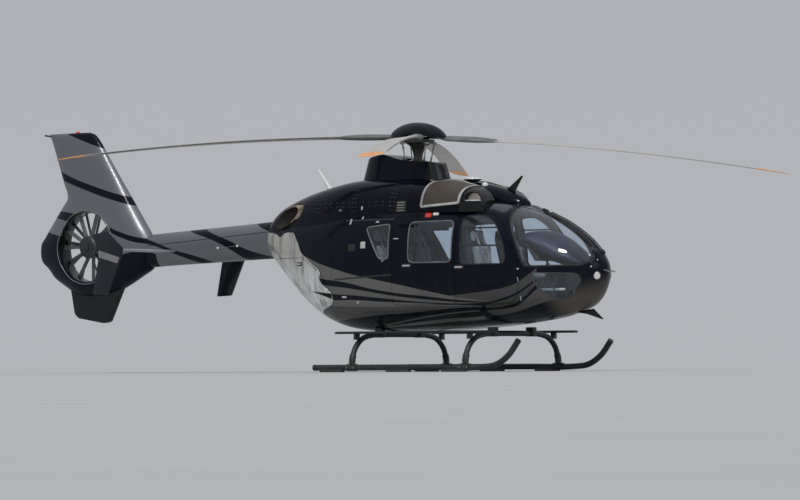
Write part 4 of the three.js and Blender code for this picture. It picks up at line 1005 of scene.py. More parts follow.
frame_region = block(REAR_FRAME_X + 1.0, 3400, -1500, 1500, 300, 3000)
cabin_shell = carve(copy_of(pod_shell, "cabin_shell"), frame_region, "INTERSECT")
carve(cabin_shell, block(-2600, COWL_FRONT_X - 2, -1500, 1500, DECK_Z - 1, 3000))
rear_shell = carve(copy_of(pod_shell, "rear_shell"), block(-2700, REAR_FRAME_X - 1.5, -1500, 1500, 300, DECK_Z - 1),
                   "INTERSECT")
carve(rear_shell, prism("side", clamshell_outline(0), -900, 900))
clamshells = carve(copy_of(pod_shell, "clamshells"), prism("side", clamshell_outline(GAP), -900, 900), "INTERSECT")
glass = {}
for side_name, side in SIDES:
    for title, tool in WINDOWS.items():
        carve(cabin_shell, tool(side, 0))
        glass[f"{title}_{side_name}"] = carve(
            copy_of(glass_shell, f"{title}_pane_{side_name}"), tool(side, 0.6), "INTERSECT")
    for title, (outline, corner, window) in DOOR_WINDOWS.items():
        carve(cabin_shell, side_prism(outline, side, 60, 1200, corner))
        door = carve(copy_of(pod_shell, f"{title}_skin_{side_name}"),
                     side_prism(grown(outline, -GAP), side, 60, 1200, corner), "INTERSECT")
        carve(door, side_prism(window, side, 60, 1200, WINDOW_CORNER))
        body = f"{title}_{side_name}" if title == "front_door" else "airframe"
        fit(door, "fuselage", [f"{title}_{side_name}"], (POD, POD_INSIDE), body=body)
        glass[f"{title}_window_{side_name}"] = carve(
            copy_of(glass_shell, f"{title}_pane_{side_name}"),
            side_prism(grown(window, -0.6), side, 60, 1200, WINDOW_CORNER), "INTERSECT")
    half = block(-3000, 0, *((-900, -GAP / 2) if side < 0 else (GAP / 2, 900)), 0, 3000)
    shell = carve(copy_of(clamshells, f"clamshell_skin_{side_name}"), half, "INTERSECT")
    fit(shell, "fuselage", [f"clamshell_door_{side_name}"], (POD, POD_INSIDE),
        body=f"clamshell_door_{side_name}")
fit(cabin_shell, "fuselage", ["cabin_frame", "lower_fuselage"], (POD, POD_INSIDE))
for title, pane in glass.items():
    finish = {"windscreen": "front_glass", "roof": "roof_glass"}.get(title.split("_")[0], "glass")
    fit(pane, finish, [title], (GLASS,), pane_body(title), reach=0.008)
drop(clamshells)

# %% [markdown]
# The engine cowling: the pod's upper skin behind the cabin joined to the smooth box over the engines, with the
# round mast hole and the two exhaust openings. Thin grooves show where its panels come apart.

# %% Cowling
EXHAUST_START, EXHAUST_END, EXHAUST_RADIUS = (-1351, 255, 2282), (-2412, 473, 2096), 135.0


def cylinder_between(start, end, radius, sides=48, name="cylinder"):
    a, b = Vector(start), Vector(end)
    turn = Vector((0, 0, 1)).rotation_difference(b - a).to_matrix()
    rings = []
    for centre in (a, b):
        rings.append([centre + turn @ Vector((radius * math.cos(t), radius * math.sin(t), 0))
                      for t in np.linspace(0, 2 * math.pi, sides, endpoint=False)])
    return make_object(name, *skin(rings))


def exhaust_tool(side, radius, longer, name="exhaust_tool"):
    start, end = (Vector((x, side * y, z)) for x, y, z in (EXHAUST_START, EXHAUST_END))
    along = (end - start).normalized() * longer
    return cylinder_between(start - along, end + along, radius, 64, name)


def round_tool(radius, z0, z1, sides=64):
    return cylinder_between((0, 0, z0), (0, 0, z1), radius, sides, "round_tool")


envelope = carve(cowl_hull("envelope", 0), pod_tool, "UNION", keep=True)
ENVELOPE_COWL = Hull(cowl_hull("cowl_only", 0))
cowling = carve(copy_of(envelope, "cowling_skin"), carve(cowl_hull("inside", COWL_WALL, 64),
                pod_hull("pod_inside", COWL_WALL, 64), "UNION"))
carve(cowling, block(-2600, COWL_FRONT_X, -1500, 1500, DECK_Z + 0.5, 3000), "INTERSECT")
for _, side in SIDES:
    carve(cowling, exhaust_tool(side, EXHAUST_RADIUS + 14, 150))
    carve(rear_shell, exhaust_tool(side, EXHAUST_RADIUS + 14, 150))
carve(cowling, round_tool(120, 2000, 3300))
groove_floor = carve(cowl_hull("groove_floor", 4, 96), pod_hull("groove_floor_pod", 4, 96), "UNION")
COWL_SEAMS = [("front", 40), ("front", -640), ("front", -1330), ("front", -1960), ("top", 2300)]
for view, place in COWL_SEAMS:
    if view == "front":
        cut = block(place - 2, place + 2, -1500, 1500, DECK_Z, 3000)
    else:
        cut = block(-1962, 40, -1500, 1500, place - 2, place + 2)
    carve(cowling, carve(cut, groove_floor, keep=True))
fit(cowling, "navy", ["engine_cowling"], (POD, ENVELOPE_COWL))
fit(rear_shell, "fuselage", ["rear_fuselage"], (POD, POD_INSIDE))
drop(groove_floor, bpy.data.objects["cowl_only"])
ENVELOPE = Hull(envelope)
skirt = carve(copy_of(envelope, "cowl_skirt"), block(-2499, COWL_FRONT_X, -1500, 1500, 1960, DECK_Z + 0.4), "INTERSECT")
carve(skirt, pod_tool, keep=True)
for _, side in SIDES:
    carve(skirt, exhaust_tool(side, EXHAUST_RADIUS + 14, 150))
fit(skirt, "navy", hulls=(POD, ENVELOPE_COWL))
print("cowling", len(cowling.data.polygons), "faces")

# %% [markdown]
# Long thin parts, such as seals, rails, tubes and wires, are a small section drawn along a path. On the skin the
# section stands on the hull's own direction, so a seal follows the curve of the door. A pane's seal takes
# its path from the pane itself: the edges where its outer face ends.

# %% Paths
def even_path(points, step, closed=False):
    points = np.asarray(points, float)
    if closed:
        points = np.vstack([points, points[:1]])
    length = np.concatenate([[0], np.cumsum(np.linalg.norm(np.diff(points, axis=0), axis=1))])
    count = max(4, int(length[-1] / step))
    where = np.linspace(0, length[-1], count + 1)
    out = np.stack([np.interp(where, length, points[:, k]) for k in range(3)], 1)
    return out[:-1] if closed else out


def smooth_path(points, step, closed=False):
    """A centripetal curve through the points, the same kind that the CAD's tubes follow."""
    points = np.asarray(points, float)
    count = len(points)
    out = []
    for i in range(count if closed else count - 1):
        if closed:
            knots = [points[(i + k) % count] for k in (-1, 0, 1, 2)]
        else:
            knots = [points[i - 1] if i else 2 * points[0] - points[1], points[i], points[i + 1],
                     points[i + 2] if i + 2 < count else 2 * points[-1] - points[-2]]
        p0, p1, p2, p3 = knots
        g0, g1, g2 = (max(np.linalg.norm(b - a) ** 0.5, 1e-6) for a, b in zip(knots, knots[1:]))
        into = ((p1 - p0) / g0 - (p2 - p0) / (g0 + g1) + (p2 - p1) / g1) * g1
        away = ((p2 - p1) / g1 - (p3 - p1) / (g1 + g2) + (p3 - p2) / g2) * g1
        for t in np.linspace(0, 1, 12, endpoint=False):
            out.append((2 * t ** 3 - 3 * t * t + 1) * p1 + (t ** 3 - 2 * t * t + t) * into
                       + (3 * t * t - 2 * t ** 3) * p2 + (t ** 3 - t * t) * away)
    if not closed:
        out.append(points[-1])
    return even_path(out, step, closed)


def tangents(path, closed=False):
    if closed:
        run = np.roll(path, -1, 0) - np.roll(path, 1, 0)
    else:
        run = np.gradient(path, axis=0)
    return run / np.maximum(np.linalg.norm(run, axis=1, keepdims=True), 1e-12)

# %% [markdown]
# Two ways to draw a section along a path. A ribbon keeps its section upright on the directions that it is given, as
# a seal needs on a curved skin. A tube carries its round section along without a twist: at each point the last
# direction is turned just enough to stay square to the path.

# %% Ribbons and tubes
def ribbon(name, path, normals, section, closed=False):
    """A section of (across, up) points in metres, drawn along a path of points in the frame."""
    path, normals = np.asarray(path, float), np.asarray(normals, float)
    run = tangents(path, closed)
    across = np.cross(run, normals)
    across /= np.maximum(np.linalg.norm(across, axis=1, keepdims=True), 1e-12)
    rings = [[p + a * u + n * v for u, v in section] for p, a, n in zip(path, across, normals)]
    points, faces = skin(rings, closed_loop=closed)
    return soft_shade(make_object(name, points, faces, in_frame=True), 40)


def tube(name, path, radius, sides=16, closed=False, taper=None):
    """A round bar along a path of points in the frame; taper gives a radius for each point."""
    path = np.asarray(path, float)
    run = tangents(path, closed)
    reference = np.array([0, 0, 1.0]) if abs(run[0][2]) < 0.9 else np.array([1.0, 0, 0])
    rings = []
    for i, (p, t) in enumerate(zip(path, run)):
        reference = reference - t * reference.dot(t)
        reference /= np.linalg.norm(reference)
        other = np.cross(t, reference)
        r = radius if taper is None else taper[i]
        rings.append([p + r * (math.cos(a) * reference + math.sin(a) * other)
                      for a in np.linspace(0, 2 * math.pi, sides, endpoint=False)])
    points, faces = skin(rings, closed_loop=closed)
    return soft_shade(make_object(name, points, faces, in_frame=True), 50)


def flat_section(width, low, high):
    half, corner = width / 2, min(width, high - low) * 0.25
    return [(-half, low), (half, low), (half, high - corner), (half - corner, high), (corner - half, high),
            (-half, high - corner)]

# %% [markdown]
# Where a seal lies is asked of the mesh itself: an edge is on the rim when one of its two faces lies on the hull and
# the other doesn't. The rim's edges are chained into loops, and the longest loop is the pane's outline.

# %% Rims and seals
def rim_loops(thing, hull, reach):
    book = bmesh.new()
    book.from_mesh(thing.data)
    book.normal_update()
    outer = {}
    for face in book.faces:
        _, normal, distance = hull.nearest(face.calc_center_median())
        outer[face.index] = distance < reach and normal.dot(face.normal) > 0.5
    near = {}
    for edge in book.edges:
        if len(edge.link_faces) == 2 and outer[edge.link_faces[0].index] != outer[edge.link_faces[1].index]:
            for a, b in (edge.verts, reversed(edge.verts)):
                near.setdefault(a.index, []).append(b.index)
    book.verts.ensure_lookup_table()
    loops, seen = [], set()
    for start in near:
        if start in seen:
            continue
        loop, here, before = [], start, None
        while here is not None and here not in seen:
            seen.add(here)
            loop.append(book.verts[here].co.copy())
            ahead = [n for n in near[here] if n != before and n not in seen]
            before, here = here, (ahead[0] if ahead else None)
        if len(loop) > 6:
            loops.append(np.array(loop))
    book.free()
    return loops


def rim_seal(name, thing, hull, width, high, finish, body):
    path = even_path(max(rim_loops(thing, hull, 0.002), key=len), 0.02, closed=True)
    for _ in range(2):
        path = (np.roll(path, 1, 0) + 2 * path + np.roll(path, -1, 0)) / 4
    normals = [hull.nearest(Vector(p))[1] for p in path]
    seal = ribbon(name, path, normals, flat_section(width, -0.004, high), closed=True)
    return fit(seal, finish, body=body)

# %% [markdown]
# Seals round every pane. The sliding doors' and the rear side windows have thin grey frames, the chin windows dark
# ones; the others have black rubber. A wider black strip lies behind each door gap, so that no light shows
# through the seam.

# %% Window seals
SEALS = {"sliding": (0.018, 0.0065, "frame_grey"), "rear": (0.018, 0.0065, "frame_grey"),
         "chin": (0.013, 0.0065, "frame_dark")}
RUBBER_SEAL = (0.016, 0.005, "rubber")
for title, pane in glass.items():
    rim_seal(f"seal_{title}", pane, GLASS, *SEALS.get(title.split("_")[0], RUBBER_SEAL), pane_body(title))


def hull_outline(points, side, hull, corner, depth):
    hits = [hull.from_side(x, z, side) for x, z in rounded(points, corner, 8)]
    path = even_path([hit[0] for hit in hits if hit is not None], 0.03, closed=True)
    normals = [hull.nearest(Vector(p))[1] for p in path]
    return path - np.array(normals) * depth, normals


for side_name, side in SIDES:
    for title, (outline, corner, _) in DOOR_WINDOWS.items():
        path, normals = hull_outline(grown(outline, -GAP / 2), side, POD, corner, depth=0.028)
        strip = ribbon(f"{title}_jamb_{side_name}", path, normals, flat_section(0.05, -0.006, 0.004), closed=True)
        fit(strip, "rubber")

# %% [markdown]
# Turned and lofted pieces. A turned piece is a profile spun round an axis, like work on a lathe; a lofted one is
# a section that changes along its length. The rows between stations use a steady cubic that never swings
# past the table's own numbers, which suits blades and fins. A flat plate gets its edges bevelled.

# %% Lathe, steady loft and bevel
def steady_rows(rows, per_gap):
    rows = np.array(rows, float)
    gaps = np.diff(rows[:, 0])
    slopes = np.diff(rows, axis=0) / gaps[:, None]
    lean = np.zeros_like(rows)
    lean[0], lean[-1] = slopes[0], slopes[-1]
    for i in range(1, len(rows) - 1):
        product, total = slopes[i - 1] * slopes[i], slopes[i - 1] + slopes[i]
        lean[i] = np.where(product > 0, 2 * product / np.where(total == 0, 1, total), 0)
    out = []
    for i, gap in enumerate(gaps):
        for t in np.linspace(0, 1, per_gap, endpoint=False):
            out.append((2 * t ** 3 - 3 * t * t + 1) * rows[i] + (t ** 3 - 2 * t * t + t) * gap * lean[i]
                       + (3 * t * t - 2 * t ** 3) * rows[i + 1] + (t ** 3 - t * t) * gap * lean[i + 1])
    out.append(rows[-1])
    return np.array(out)


def turned(name, profile, segments=64, place=tuple, closed=False, degrees=50):
    rings = []
    for radius, height in profile:
        rings.append([place((radius * math.cos(t), radius * math.sin(t), height))
                      for t in np.linspace(0, 2 * math.pi, segments, endpoint=False)])
    points, faces = skin(rings, profile[0][0] > 0, profile[-1][0] > 0, closed)
    return soft_shade(make_object(name, points, faces), degrees)


def loft(name, rings, degrees=40):
    return soft_shade(make_object(name, *skin(rings)), degrees)


def smooth_flat(points, step, closed=False, squash=1.0):
    """A smooth curve through flat points; squash evens out two axes with very different scales."""
    flat = np.array([(u, v * squash, 0) for u, v in points])
    path = smooth_path(flat, step, closed)
    return np.stack([path[:, 0], path[:, 1] / squash], 1)


BEVEL_FROM_DEG = 30


def bevelled(thing, width, segments):
    book = bmesh.new()
    book.from_mesh(thing.data)
    sharp = [e for e in book.edges if len(e.link_faces) == 2 and e.calc_face_angle(0) > math.radians(BEVEL_FROM_DEG)]
    bmesh.ops.bevel(book, geom=sharp, offset=width / 1000, segments=segments, profile=0.5, affect="EDGES",
                    clamp_overlap=True)
    book.to_mesh(thing.data)
    book.free()
    return soft_shade(thing, 40)


def joined(name, things):
    book = bmesh.new()
    for thing in things:
        book.from_mesh(thing.data)
    mesh = bpy.data.meshes.new(name)
    book.to_mesh(mesh)
    book.free()
    drop(*things)
    return soft_shade(placed(name, mesh), 40)

# %% [markdown]
# The tail boom is a long cone with a raised cover over the fan's drive shaft along its top. The shroud and fin
# are one loft of level sections, and the fan's duct is a lathe cut through it with a rounded inlet lip.

# %% Shapes of the boom, the fin and the duct
BOOM_STATIONS = [
    (4900, 140, 1520, 1990), (4500, 150, 1538, 2012), (3800, 178, 1562, 2050), (3000, 212, 1590, 2095),
    (2500.4, 235, 1605, 2125),
]
boom_rows = steady_rows([(-x, *rest) for x, *rest in BOOM_STATIONS], 6)


def boom_hull(name, grow=0.0, longer=0.0):
    rings = []
    for number, (x, half, bottom, top) in enumerate(boom_rows):
        move = -longer if number == 0 else longer if number == len(boom_rows) - 1 else 0
        section = egg_section(half + grow, bottom - grow, top + grow, (bottom + top) / 2 + 30, 2.1, 2.3, 72)
        rings.append(np.column_stack([np.full(len(section), x + move), section]))
    return make_object(name, *skin(rings))


FIN_STATIONS = [  # z, front x, rear x, half thickness
    (1120, -5900, -6260, 40), (1165, -5640, -6400, 105), (1250, -5400, -6545, 150), (1400, -5090, -6790, 180),
    (1520, -4880, -6900, 188), (1660, -4850, -7050, 190), (1770, -4850, -7072, 190), (1885, -4865, -7060, 190),
    (2000, -4915, -6975, 186), (2200, -5055, -6820, 172), (2420, -5215, -6645, 148), (2580, -5330, -6535, 128),
    (2800, -5490, -6615, 108), (3150, -5740, -6745, 88), (3420, -5935, -6850, 70), (3480, -6000, -6880, 60),
    (3514, -6090, -6890, 34),
]
FIN_SIDE = [(0, 0), (0.012, 0.3), (0.05, 0.62), (0.14, 0.9), (0.3, 1), (0.55, 0.98), (0.78, 0.8), (0.93, 0.42),
            (1, 0.12)]
fin_outline = smooth_flat([*FIN_SIDE[:0:-1], *[(u, -v) for u, v in FIN_SIDE]], 0.028, squash=0.12)
fin_rows = steady_rows(FIN_STATIONS, 6)
FAN_X, FAN_Z, DUCT_RADIUS, FAN_HUB_RADIUS = -6100.0, 1840.0, 504.0, 165.0
DUCT_LIP = [(0, 96), (22, 140), (70, 176), (120, 200)]


def in_duct(point):
    return FAN_X + point[0], point[2], FAN_Z - point[1]


def duct_tool():
    lip = [(DUCT_RADIUS + past, away) for past, away in smooth_flat(DUCT_LIP, 14)]
    lip.append((DUCT_RADIUS + 120, 400))
    profile = [(0, -400), *[(r, -h) for r, h in lip[::-1]], *lip, (0, 400)]
    return turned("duct_tool", profile, 128, in_duct)

# %% [markdown]
# The skins of the tail. The boom ends at the fin's own surface, and the cover over the drive shaft is a second
# boom 5 mm larger, cut off along a line. The duct's inside gets black paint: its faces are found by their
# distance from the fan's axis. A thin silver ring along the edge that the cut left is a painted highlight, the light
# that the duct's lip catches.

# %% Boom, shroud and duct skins
fin_tool = make_object("fin_tool", *skin([[(front - u * (front - rear), v * thick, z) for u, v in fin_outline]
                                          for z, front, rear, thick in fin_rows]))
FIN = Hull(fin_tool)
boom_tool = boom_hull("boom_tool")
BOOM = Hull(boom_tool)
boom = carve(copy_of(boom_tool, "boom_skin"), fin_tool, keep=True)
fit(boom, "tail", ["tail_boom"], (BOOM,))
shaft_cover = carve(boom_hull("shaft_cover", 5, -20), boom_hull("cover_inside", -6, 10))
carve(shaft_cover, prism("side", [(-5000, 1826), (-2480, 1982), (-2480, 2300), (-5000, 2300)], -500, 500),
      "INTERSECT")
carve(shaft_cover, fin_tool, keep=True)
COVER = Hull(boom_hull("cover_out", 5, -20))
fit(shaft_cover, "tail", hulls=(COVER,), reach=0.003)
for side_name, side in SIDES:
    path, normals = [], []
    for x in np.linspace(-5050, -2560, 40):
        hit = BOOM.from_side(x, 1823 + (x + 5000) * 156 / 2520, side)
        if hit is not None and FIN.nearest(hit[0])[2] > 0.004:
            path.append(hit[0])
            normals.append(hit[1])
    seam = ribbon(f"cover_seam_{side_name}", path, normals, flat_section(0.012, -0.003, 0.003))
    fit(seam, "rubber")
shroud = carve(copy_of(fin_tool, "fin_and_shroud"), duct_tool())
fit(shroud, "tail", ["tail_fin_shroud"], (FIN,))
shroud.data.materials.append(MAT["black"])
for face in shroud.data.polygons:
    x, z = (face.center.x - MAST_X) * 1000 - FAN_X, face.center.z * 1000 - FAN_Z
    if math.hypot(x, z) < DUCT_RADIUS + 6:
        face.material_index = 1
lip_highlights = 0
# Painted highlight: a silver ring along the duct's cut edge stands for the light that the lip catches.
for loop in rim_loops(shroud, FIN, 0.002):
    middle = loop.mean(0)
    if abs((middle[0] - MAST_X) * 1000 - FAN_X) < 120 and abs(middle[2] * 1000 - FAN_Z) < 120 and len(loop) > 20:
        lip_highlights += 1
        rim = tube(f"duct_rim_{lip_highlights}", even_path(loop, 0.03, closed=True), 0.005, 10, closed=True)
        fit(rim, "silver")
print(lip_highlights, "duct rims")
print("boom", len(boom.data.polygons), "shroud", len(shroud.data.polygons))

# %% [markdown]
# Flat parts of the tail: the bumper fin under the shroud, the two tailplane halves and their end plates. The
# plates are pressed from an outline and bevelled, since only the tailplane shows a wing's rounded section.

# %% Bumper fin and tailplane
VENTRAL_FIN = [(-5410, 1330), (-5720, 745), (-5810, 722), (-6310, 800), (-6385, 865), (-6480, 1330)]
bumper = bevelled(prism("side", VENTRAL_FIN, -42, 42, 30), 26, 4)
carve(bumper, fin_tool, keep=True)
carve(bumper, duct_tool())
fit(soft_shade(bumper, 40), "black", ["ventral_fin"])

TAILPLANE_SECTION = [(-4300, 1740), (-4330, 1757), (-4430, 1764), (-4690, 1744), (-4690, 1738), (-4430, 1718),
                     (-4330, 1722)]
END_PLATE = [(-4545, 2010), (-4260, 1770), (-4275, 1690), (-4555, 1118), (-4820, 1108), (-4700, 1690),
             (-4705, 1790), (-4835, 1965)]
HALF_SPAN, PLATE_THICK = 1335.0, 28.0
wing_outline = smooth_flat(TAILPLANE_SECTION[3:] + TAILPLANE_SECTION[:4], 12)
for side_name, side in SIDES:
    spans = (50, 400, 900, HALF_SPAN + 1)
    wing = loft(f"tailplane_skin_{side_name}", [[(x, side * y, z) for x, z in wing_outline] for y in spans], 60)
    carve(wing, boom_tool, keep=True)
    fit(soft_shade(wing, 60), "silver", [f"tailplane_{side_name}"])
    plate = side_prism(END_PLATE, side, HALF_SPAN - 1, HALF_SPAN + PLATE_THICK, 30)
    plate.name = f"end_plate_{side_name}"
    fit(bevelled(plate, 10, 3), "end_plate", [f"tailplane_{side_name}"])
    outside = (HALF_SPAN + PLATE_THICK - 3, HALF_SPAN + PLATE_THICK + 0.8)
    band = side_prism([(-4716, 1742), (-4312, 1634), (-4352, 1552), (-4704, 1640)], side, *outside, 6)
    band.name = f"end_plate_band_{side_name}"
    fit(band, "silver")

# %% [markdown]
# The tail fan: eleven fixed vanes hold the gearbox in the middle of the duct, and ten blades turn in front of it.
# The blades stand at uneven angles, as on the real aircraft, where that spreads out the fan's whine.

# %% Tail fan
STATOR_HUB = [(0, 25), (FAN_HUB_RADIUS - 5, 25), (FAN_HUB_RADIUS - 2, 60), (FAN_HUB_RADIUS - 8, 120),
              (140, 160), (105, 188), (55, 202), (0, 205)]
FAN_HUB = [(0, -125), (45, -124), (62, -118), (66, -104), (118, -98), (146, -84), (162, -62),
           (FAN_HUB_RADIUS, -40), (FAN_HUB_RADIUS, 15), (0, 15)]
FAN_BLADE_DEG = (0, 31, 68, 108, 143, 180, 211, 248, 288, 323)
FAN_BLADES = [(150, 27, 5, 38), (225, 29, 5, 34), (300, 30, 4, 30), (400, 30, 3.5, 26), (495, 29, 3, 22)]
FAN_SECTION = smooth_flat([(-1, 0.12), (-0.3, 0.7), (0.4, 1), (0.95, 0.35), (0.95, -0.35), (0.4, -1), (-0.3, -0.6),
                           (-1, -0.12)], 0.16, closed=True)


def turn_about(points, degrees):
    c, s = math.cos(math.radians(degrees)), math.sin(math.radians(degrees))
    return [(c * x - s * y, s * x + c * y, z) for x, y, z in points]


fan_pieces = [turned("fan_hub", FAN_HUB, 64, in_duct)]
for angle in FAN_BLADE_DEG:
    rings = []
    for radius, half, thick, pitch in steady_rows(FAN_BLADES, 3):
        c, s = math.cos(math.radians(pitch)), math.sin(math.radians(pitch))
        ring = [(radius, u * half * c - v * thick * s, u * half * s + v * thick * c - 25) for u, v in FAN_SECTION]
        rings.append([in_duct(p) for p in turn_about(ring, angle)])
    fan_pieces.append(loft("fan_blade", rings))
    root = [(radius, size * math.cos(t), size * math.sin(t) - 25)
            for radius, size in ((150, 24), (180, 22), (186, 12)) for t in np.linspace(0, 2 * math.pi, 20, False)]
    root = [in_duct(p) for p in turn_about(root, angle)]
    fan_pieces.append(loft("blade_root", [root[:20], root[20:40], root[40:]]))
fan = joined("fan_rotor", fan_pieces)
fit(fan, "fan", ["tail_fan"], body="tail_fan")
fan.data.materials.append(MAT["trim"])
for face in fan.data.polygons:
    if math.hypot((face.center.x - MAST_X) * 1000 - FAN_X, face.center.z * 1000 - FAN_Z) < 148:
        face.material_index = 1

stator_pieces = [turned("stator_hub", STATOR_HUB, 64, in_duct)]
VANE = smooth_flat([(-30, 1.5), (0, 5), (28, 2), (30, 0), (28, -2), (0, -3.5), (-30, -1.5)], 3, closed=True)
for number in range(11):
    angle = -(360 / 11 * number + 8)
    c, s = math.cos(math.radians(78)), math.sin(math.radians(78))
    rings = []
    for radius in (120, 250, 380, 503):
        ring = [(radius, -(u * s + v * c), 62 + u * c - v * s) for u, v in VANE]
        rings.append([in_duct(p) for p in turn_about(ring, angle)])
    stator_pieces.append(loft("vane", rings, 60))
stator = joined("stator_and_hub", stator_pieces)
fit(stator, "stator", ["fan_stator"])
print("fan", len(fan.data.polygons), "stator", len(stator.data.polygons))

# %% [markdown]
# The main rotor, modelled in its own upright frame and then tilted forward by the mast's two degrees. Each blade
# is one loft from the root fitting through the thick cuff to the swept tip, and droops as a parked blade
# does. Its tip band and its metal leading edge are faces of the same skin with other finishes.

# %% Main rotor
ROTOR_RADIUS, ROTOR_HUB_MM, TILT = 5100.0, ROTOR_HUB_Z * 1000.0, math.radians(2)
PARKED_DEG, BLADE_DROOP, TIP_BAND = 31.3, 390.0, 4640.0


def in_rotor(point, turn=0.0):
    c, s = math.cos(turn), math.sin(turn)
    x, y, z = c * point[0] - s * point[1], s * point[0] + c * point[1], point[2]
    return (x * math.cos(TILT) + z * math.sin(TILT), y, ROTOR_HUB_MM + z * math.cos(TILT) - x * math.sin(TILT))


BLADE_STATIONS = [  # radius, half chord, half thickness, rise, sweep
    (125, 58, 22, 22, 0), (270, 70, 24, 20, 0), (400, 118, 42, 4, 0), (760, 126, 46, 0, 0), (960, 112, 36, 0, 0),
    (1160, 144, 20, 0, 0), (1700, 144, 16, 0, 0), (2600, 144, 16, 0, 0), (3500, 144, 15, 0, 0),
    (4300, 144, 14, 0, 0), (4650, 136, 12, 0, 8), (4900, 110, 9, 0, 38), (5040, 74, 6, 0, 78),
    (5100, 34, 4, 0, 118),
]
BLADE_SECTION = smooth_flat([(-1, 0.08), (-0.5, 0.42), (0.1, 0.86), (0.55, 1), (0.88, 0.62), (1, 0), (0.88, -0.5),
                             (0.55, -0.8), (0.1, -0.72), (-0.5, -0.4), (-1, -0.08)], 0.09, closed=True)
EDGE_SHARE, HALF_CHORD, CUFF_END = 0.86, 144.0, 1080.0
blade_rows = steady_rows(BLADE_STATIONS, 6)
for number in range(4):
    turn = math.radians(PARKED_DEG + 90 * number)
    rings = []
    for radius, half, thick, rise, sweep in blade_rows:
        ease = min(1.0, max(0.0, (radius - 270) / 130))
        pitch = math.radians(6 * (1 - radius / ROTOR_RADIUS)) * ease
        c, s = math.cos(pitch), math.sin(pitch)
        droop = BLADE_DROOP * (radius / ROTOR_RADIUS) ** 2
        rings.append([in_rotor((radius, u * half * c - v * thick * s - sweep,
                                u * half * s + v * thick * c + rise - droop), turn) for u, v in BLADE_SECTION])
    blade = loft(f"rotor_blade_{number + 1}", rings, 50)
    fit(blade, "blade", [f"main_blade_{number + 1}"], body="main_rotor")
    for finish in ("tip", "blade_edge", "cuff"):
        blade.data.materials.append(MAT[finish])
    for face in blade.data.polygons:
        across = Vector(((face.center.x - MAST_X) * 1000, face.center.y * 1000))
        radius = across.length
        lead = across.dot(Vector((-math.sin(turn), math.cos(turn))))
        if radius > TIP_BAND:
            face.material_index = 1
        elif radius < CUFF_END:
            face.material_index = 3
        elif lead > EDGE_SHARE * HALF_CHORD:
            face.material_index = 2

# %% [markdown]
# The hub cap is a turned dome whose rim dips between the blades: four waves round the rim, strongest at the edge.
# The mast below it carries the swashplate, two turned rings, with a pitch link to each blade.

# %% Hub cap, mast and swashplate
CAP_RADIUS, LOBE_DEPTH = 0.378, 0.045
HUB_CAP = [(0, 222), (60, 221), (125, 211), (190, 193), (250, 168), (300, 138), (340, 106), (368, 74), (378, 56),
           (372, 50), (362, 60), (325, 96), (260, 136), (160, 172), (0, 182)]
hub_cap = turned("rotor_cap", HUB_CAP, 96, in_rotor, degrees=40)
for vertex in hub_cap.data.vertices:
    x, y = vertex.co.x - MAST_X, vertex.co.y
    turn = math.atan2(y, x) - math.radians(PARKED_DEG)
    vertex.co.z -= LOBE_DEPTH * (math.hypot(x, y) / CAP_RADIUS) ** 3 * (0.5 - 0.5 * math.cos(4 * turn))
fit(hub_cap, "cap", ["hub_cap"], body="main_rotor")
MAST = [(0, -630), (58, -630), (62, -624), (60, -330), (64, -322), (64, -290), (60, -270), (66, -220), (86, -150),
        (118, -104), (160, -76), (205, -58), (218, -56), (222, -50), (222, -12), (218, -8), (150, -8), (140, 20),
        (120, 30), (0, 30)]
mast = turned("mast_tube", MAST, 64, in_rotor, degrees=35)
fit(mast, "dark_steel", ["rotor_mast"], body="main_rotor")

SWASH_Z, LINK_RADIUS = -345.0, 185.0
swash_pieces = [
    turned("outer_ring", [(95, -367), (200, -367), (205, -362), (205, -332), (200, -327), (150, -327), (146, -320),
                          (95, -320)], 64, in_rotor, closed=True),
    turned("inner_ring", [(74, -420), (120, -420), (128, -380), (128, -310), (110, -296), (74, -296)], 48, in_rotor,
           closed=True),
]


def metres(points):
    return [Vector(p) for p in at_frame(points)]


for number in range(4):
    turn = math.radians(PARKED_DEG + 32 + 90 * number)
    foot = (LINK_RADIUS, 0, SWASH_Z)
    head = (LINK_RADIUS + 60, 0, -62)
    for t0, t1, radius in ((0, 1, 9), (0.14, 0.34, 14), (0.66, 0.86, 14)):
        ends = [tuple(a + (b - a) * t for a, b in zip(foot, head)) for t in (t0, t1)]
        path = even_path(metres([in_rotor(p, turn) for p in ends]), 0.02)
        swash_pieces.append(tube("link", path, radius / 1000, 16))
    for spot, half, radius in ((foot, 17, 17), (head, 27, 27)):
        ends = [(spot[0], spot[1] - half, spot[2]), (spot[0], spot[1] + half, spot[2])]
        path = even_path(metres([in_rotor(p, turn) for p in ends]), 0.01)
        swash_pieces.append(tube("joint", path, radius / 1000, 20))
swash = joined("swashplate_and_links", swash_pieces)
fit(swash, "steel", ["swashplate"], body="main_rotor")

# %% [markdown]
# Above the cabin: the fairing round the mast and the narrow roof fairing with the upper wire cutter. Both are
# lofts of rounded sections, cut off where they meet the cowling or the pod.

# %% Mast fairing and roof fairing
MAST_FAIRING_SIDE = [(520, 2560), (390, 2870), (120, 2885), (-120, 2915), (-430, 3000), (-720, 2960),
                     (-810, 2925), (-930, 2560)]


def rounded_ring(z, centre, length, width):
    ring = []
    for t in np.linspace(0, 2 * math.pi, 96, endpoint=False):
        c, s = math.cos(t), math.sin(t)
        ring.append((centre + length * math.copysign(abs(c) ** 0.9, c), width * math.copysign(abs(s) ** 0.85, s), z))
    return ring


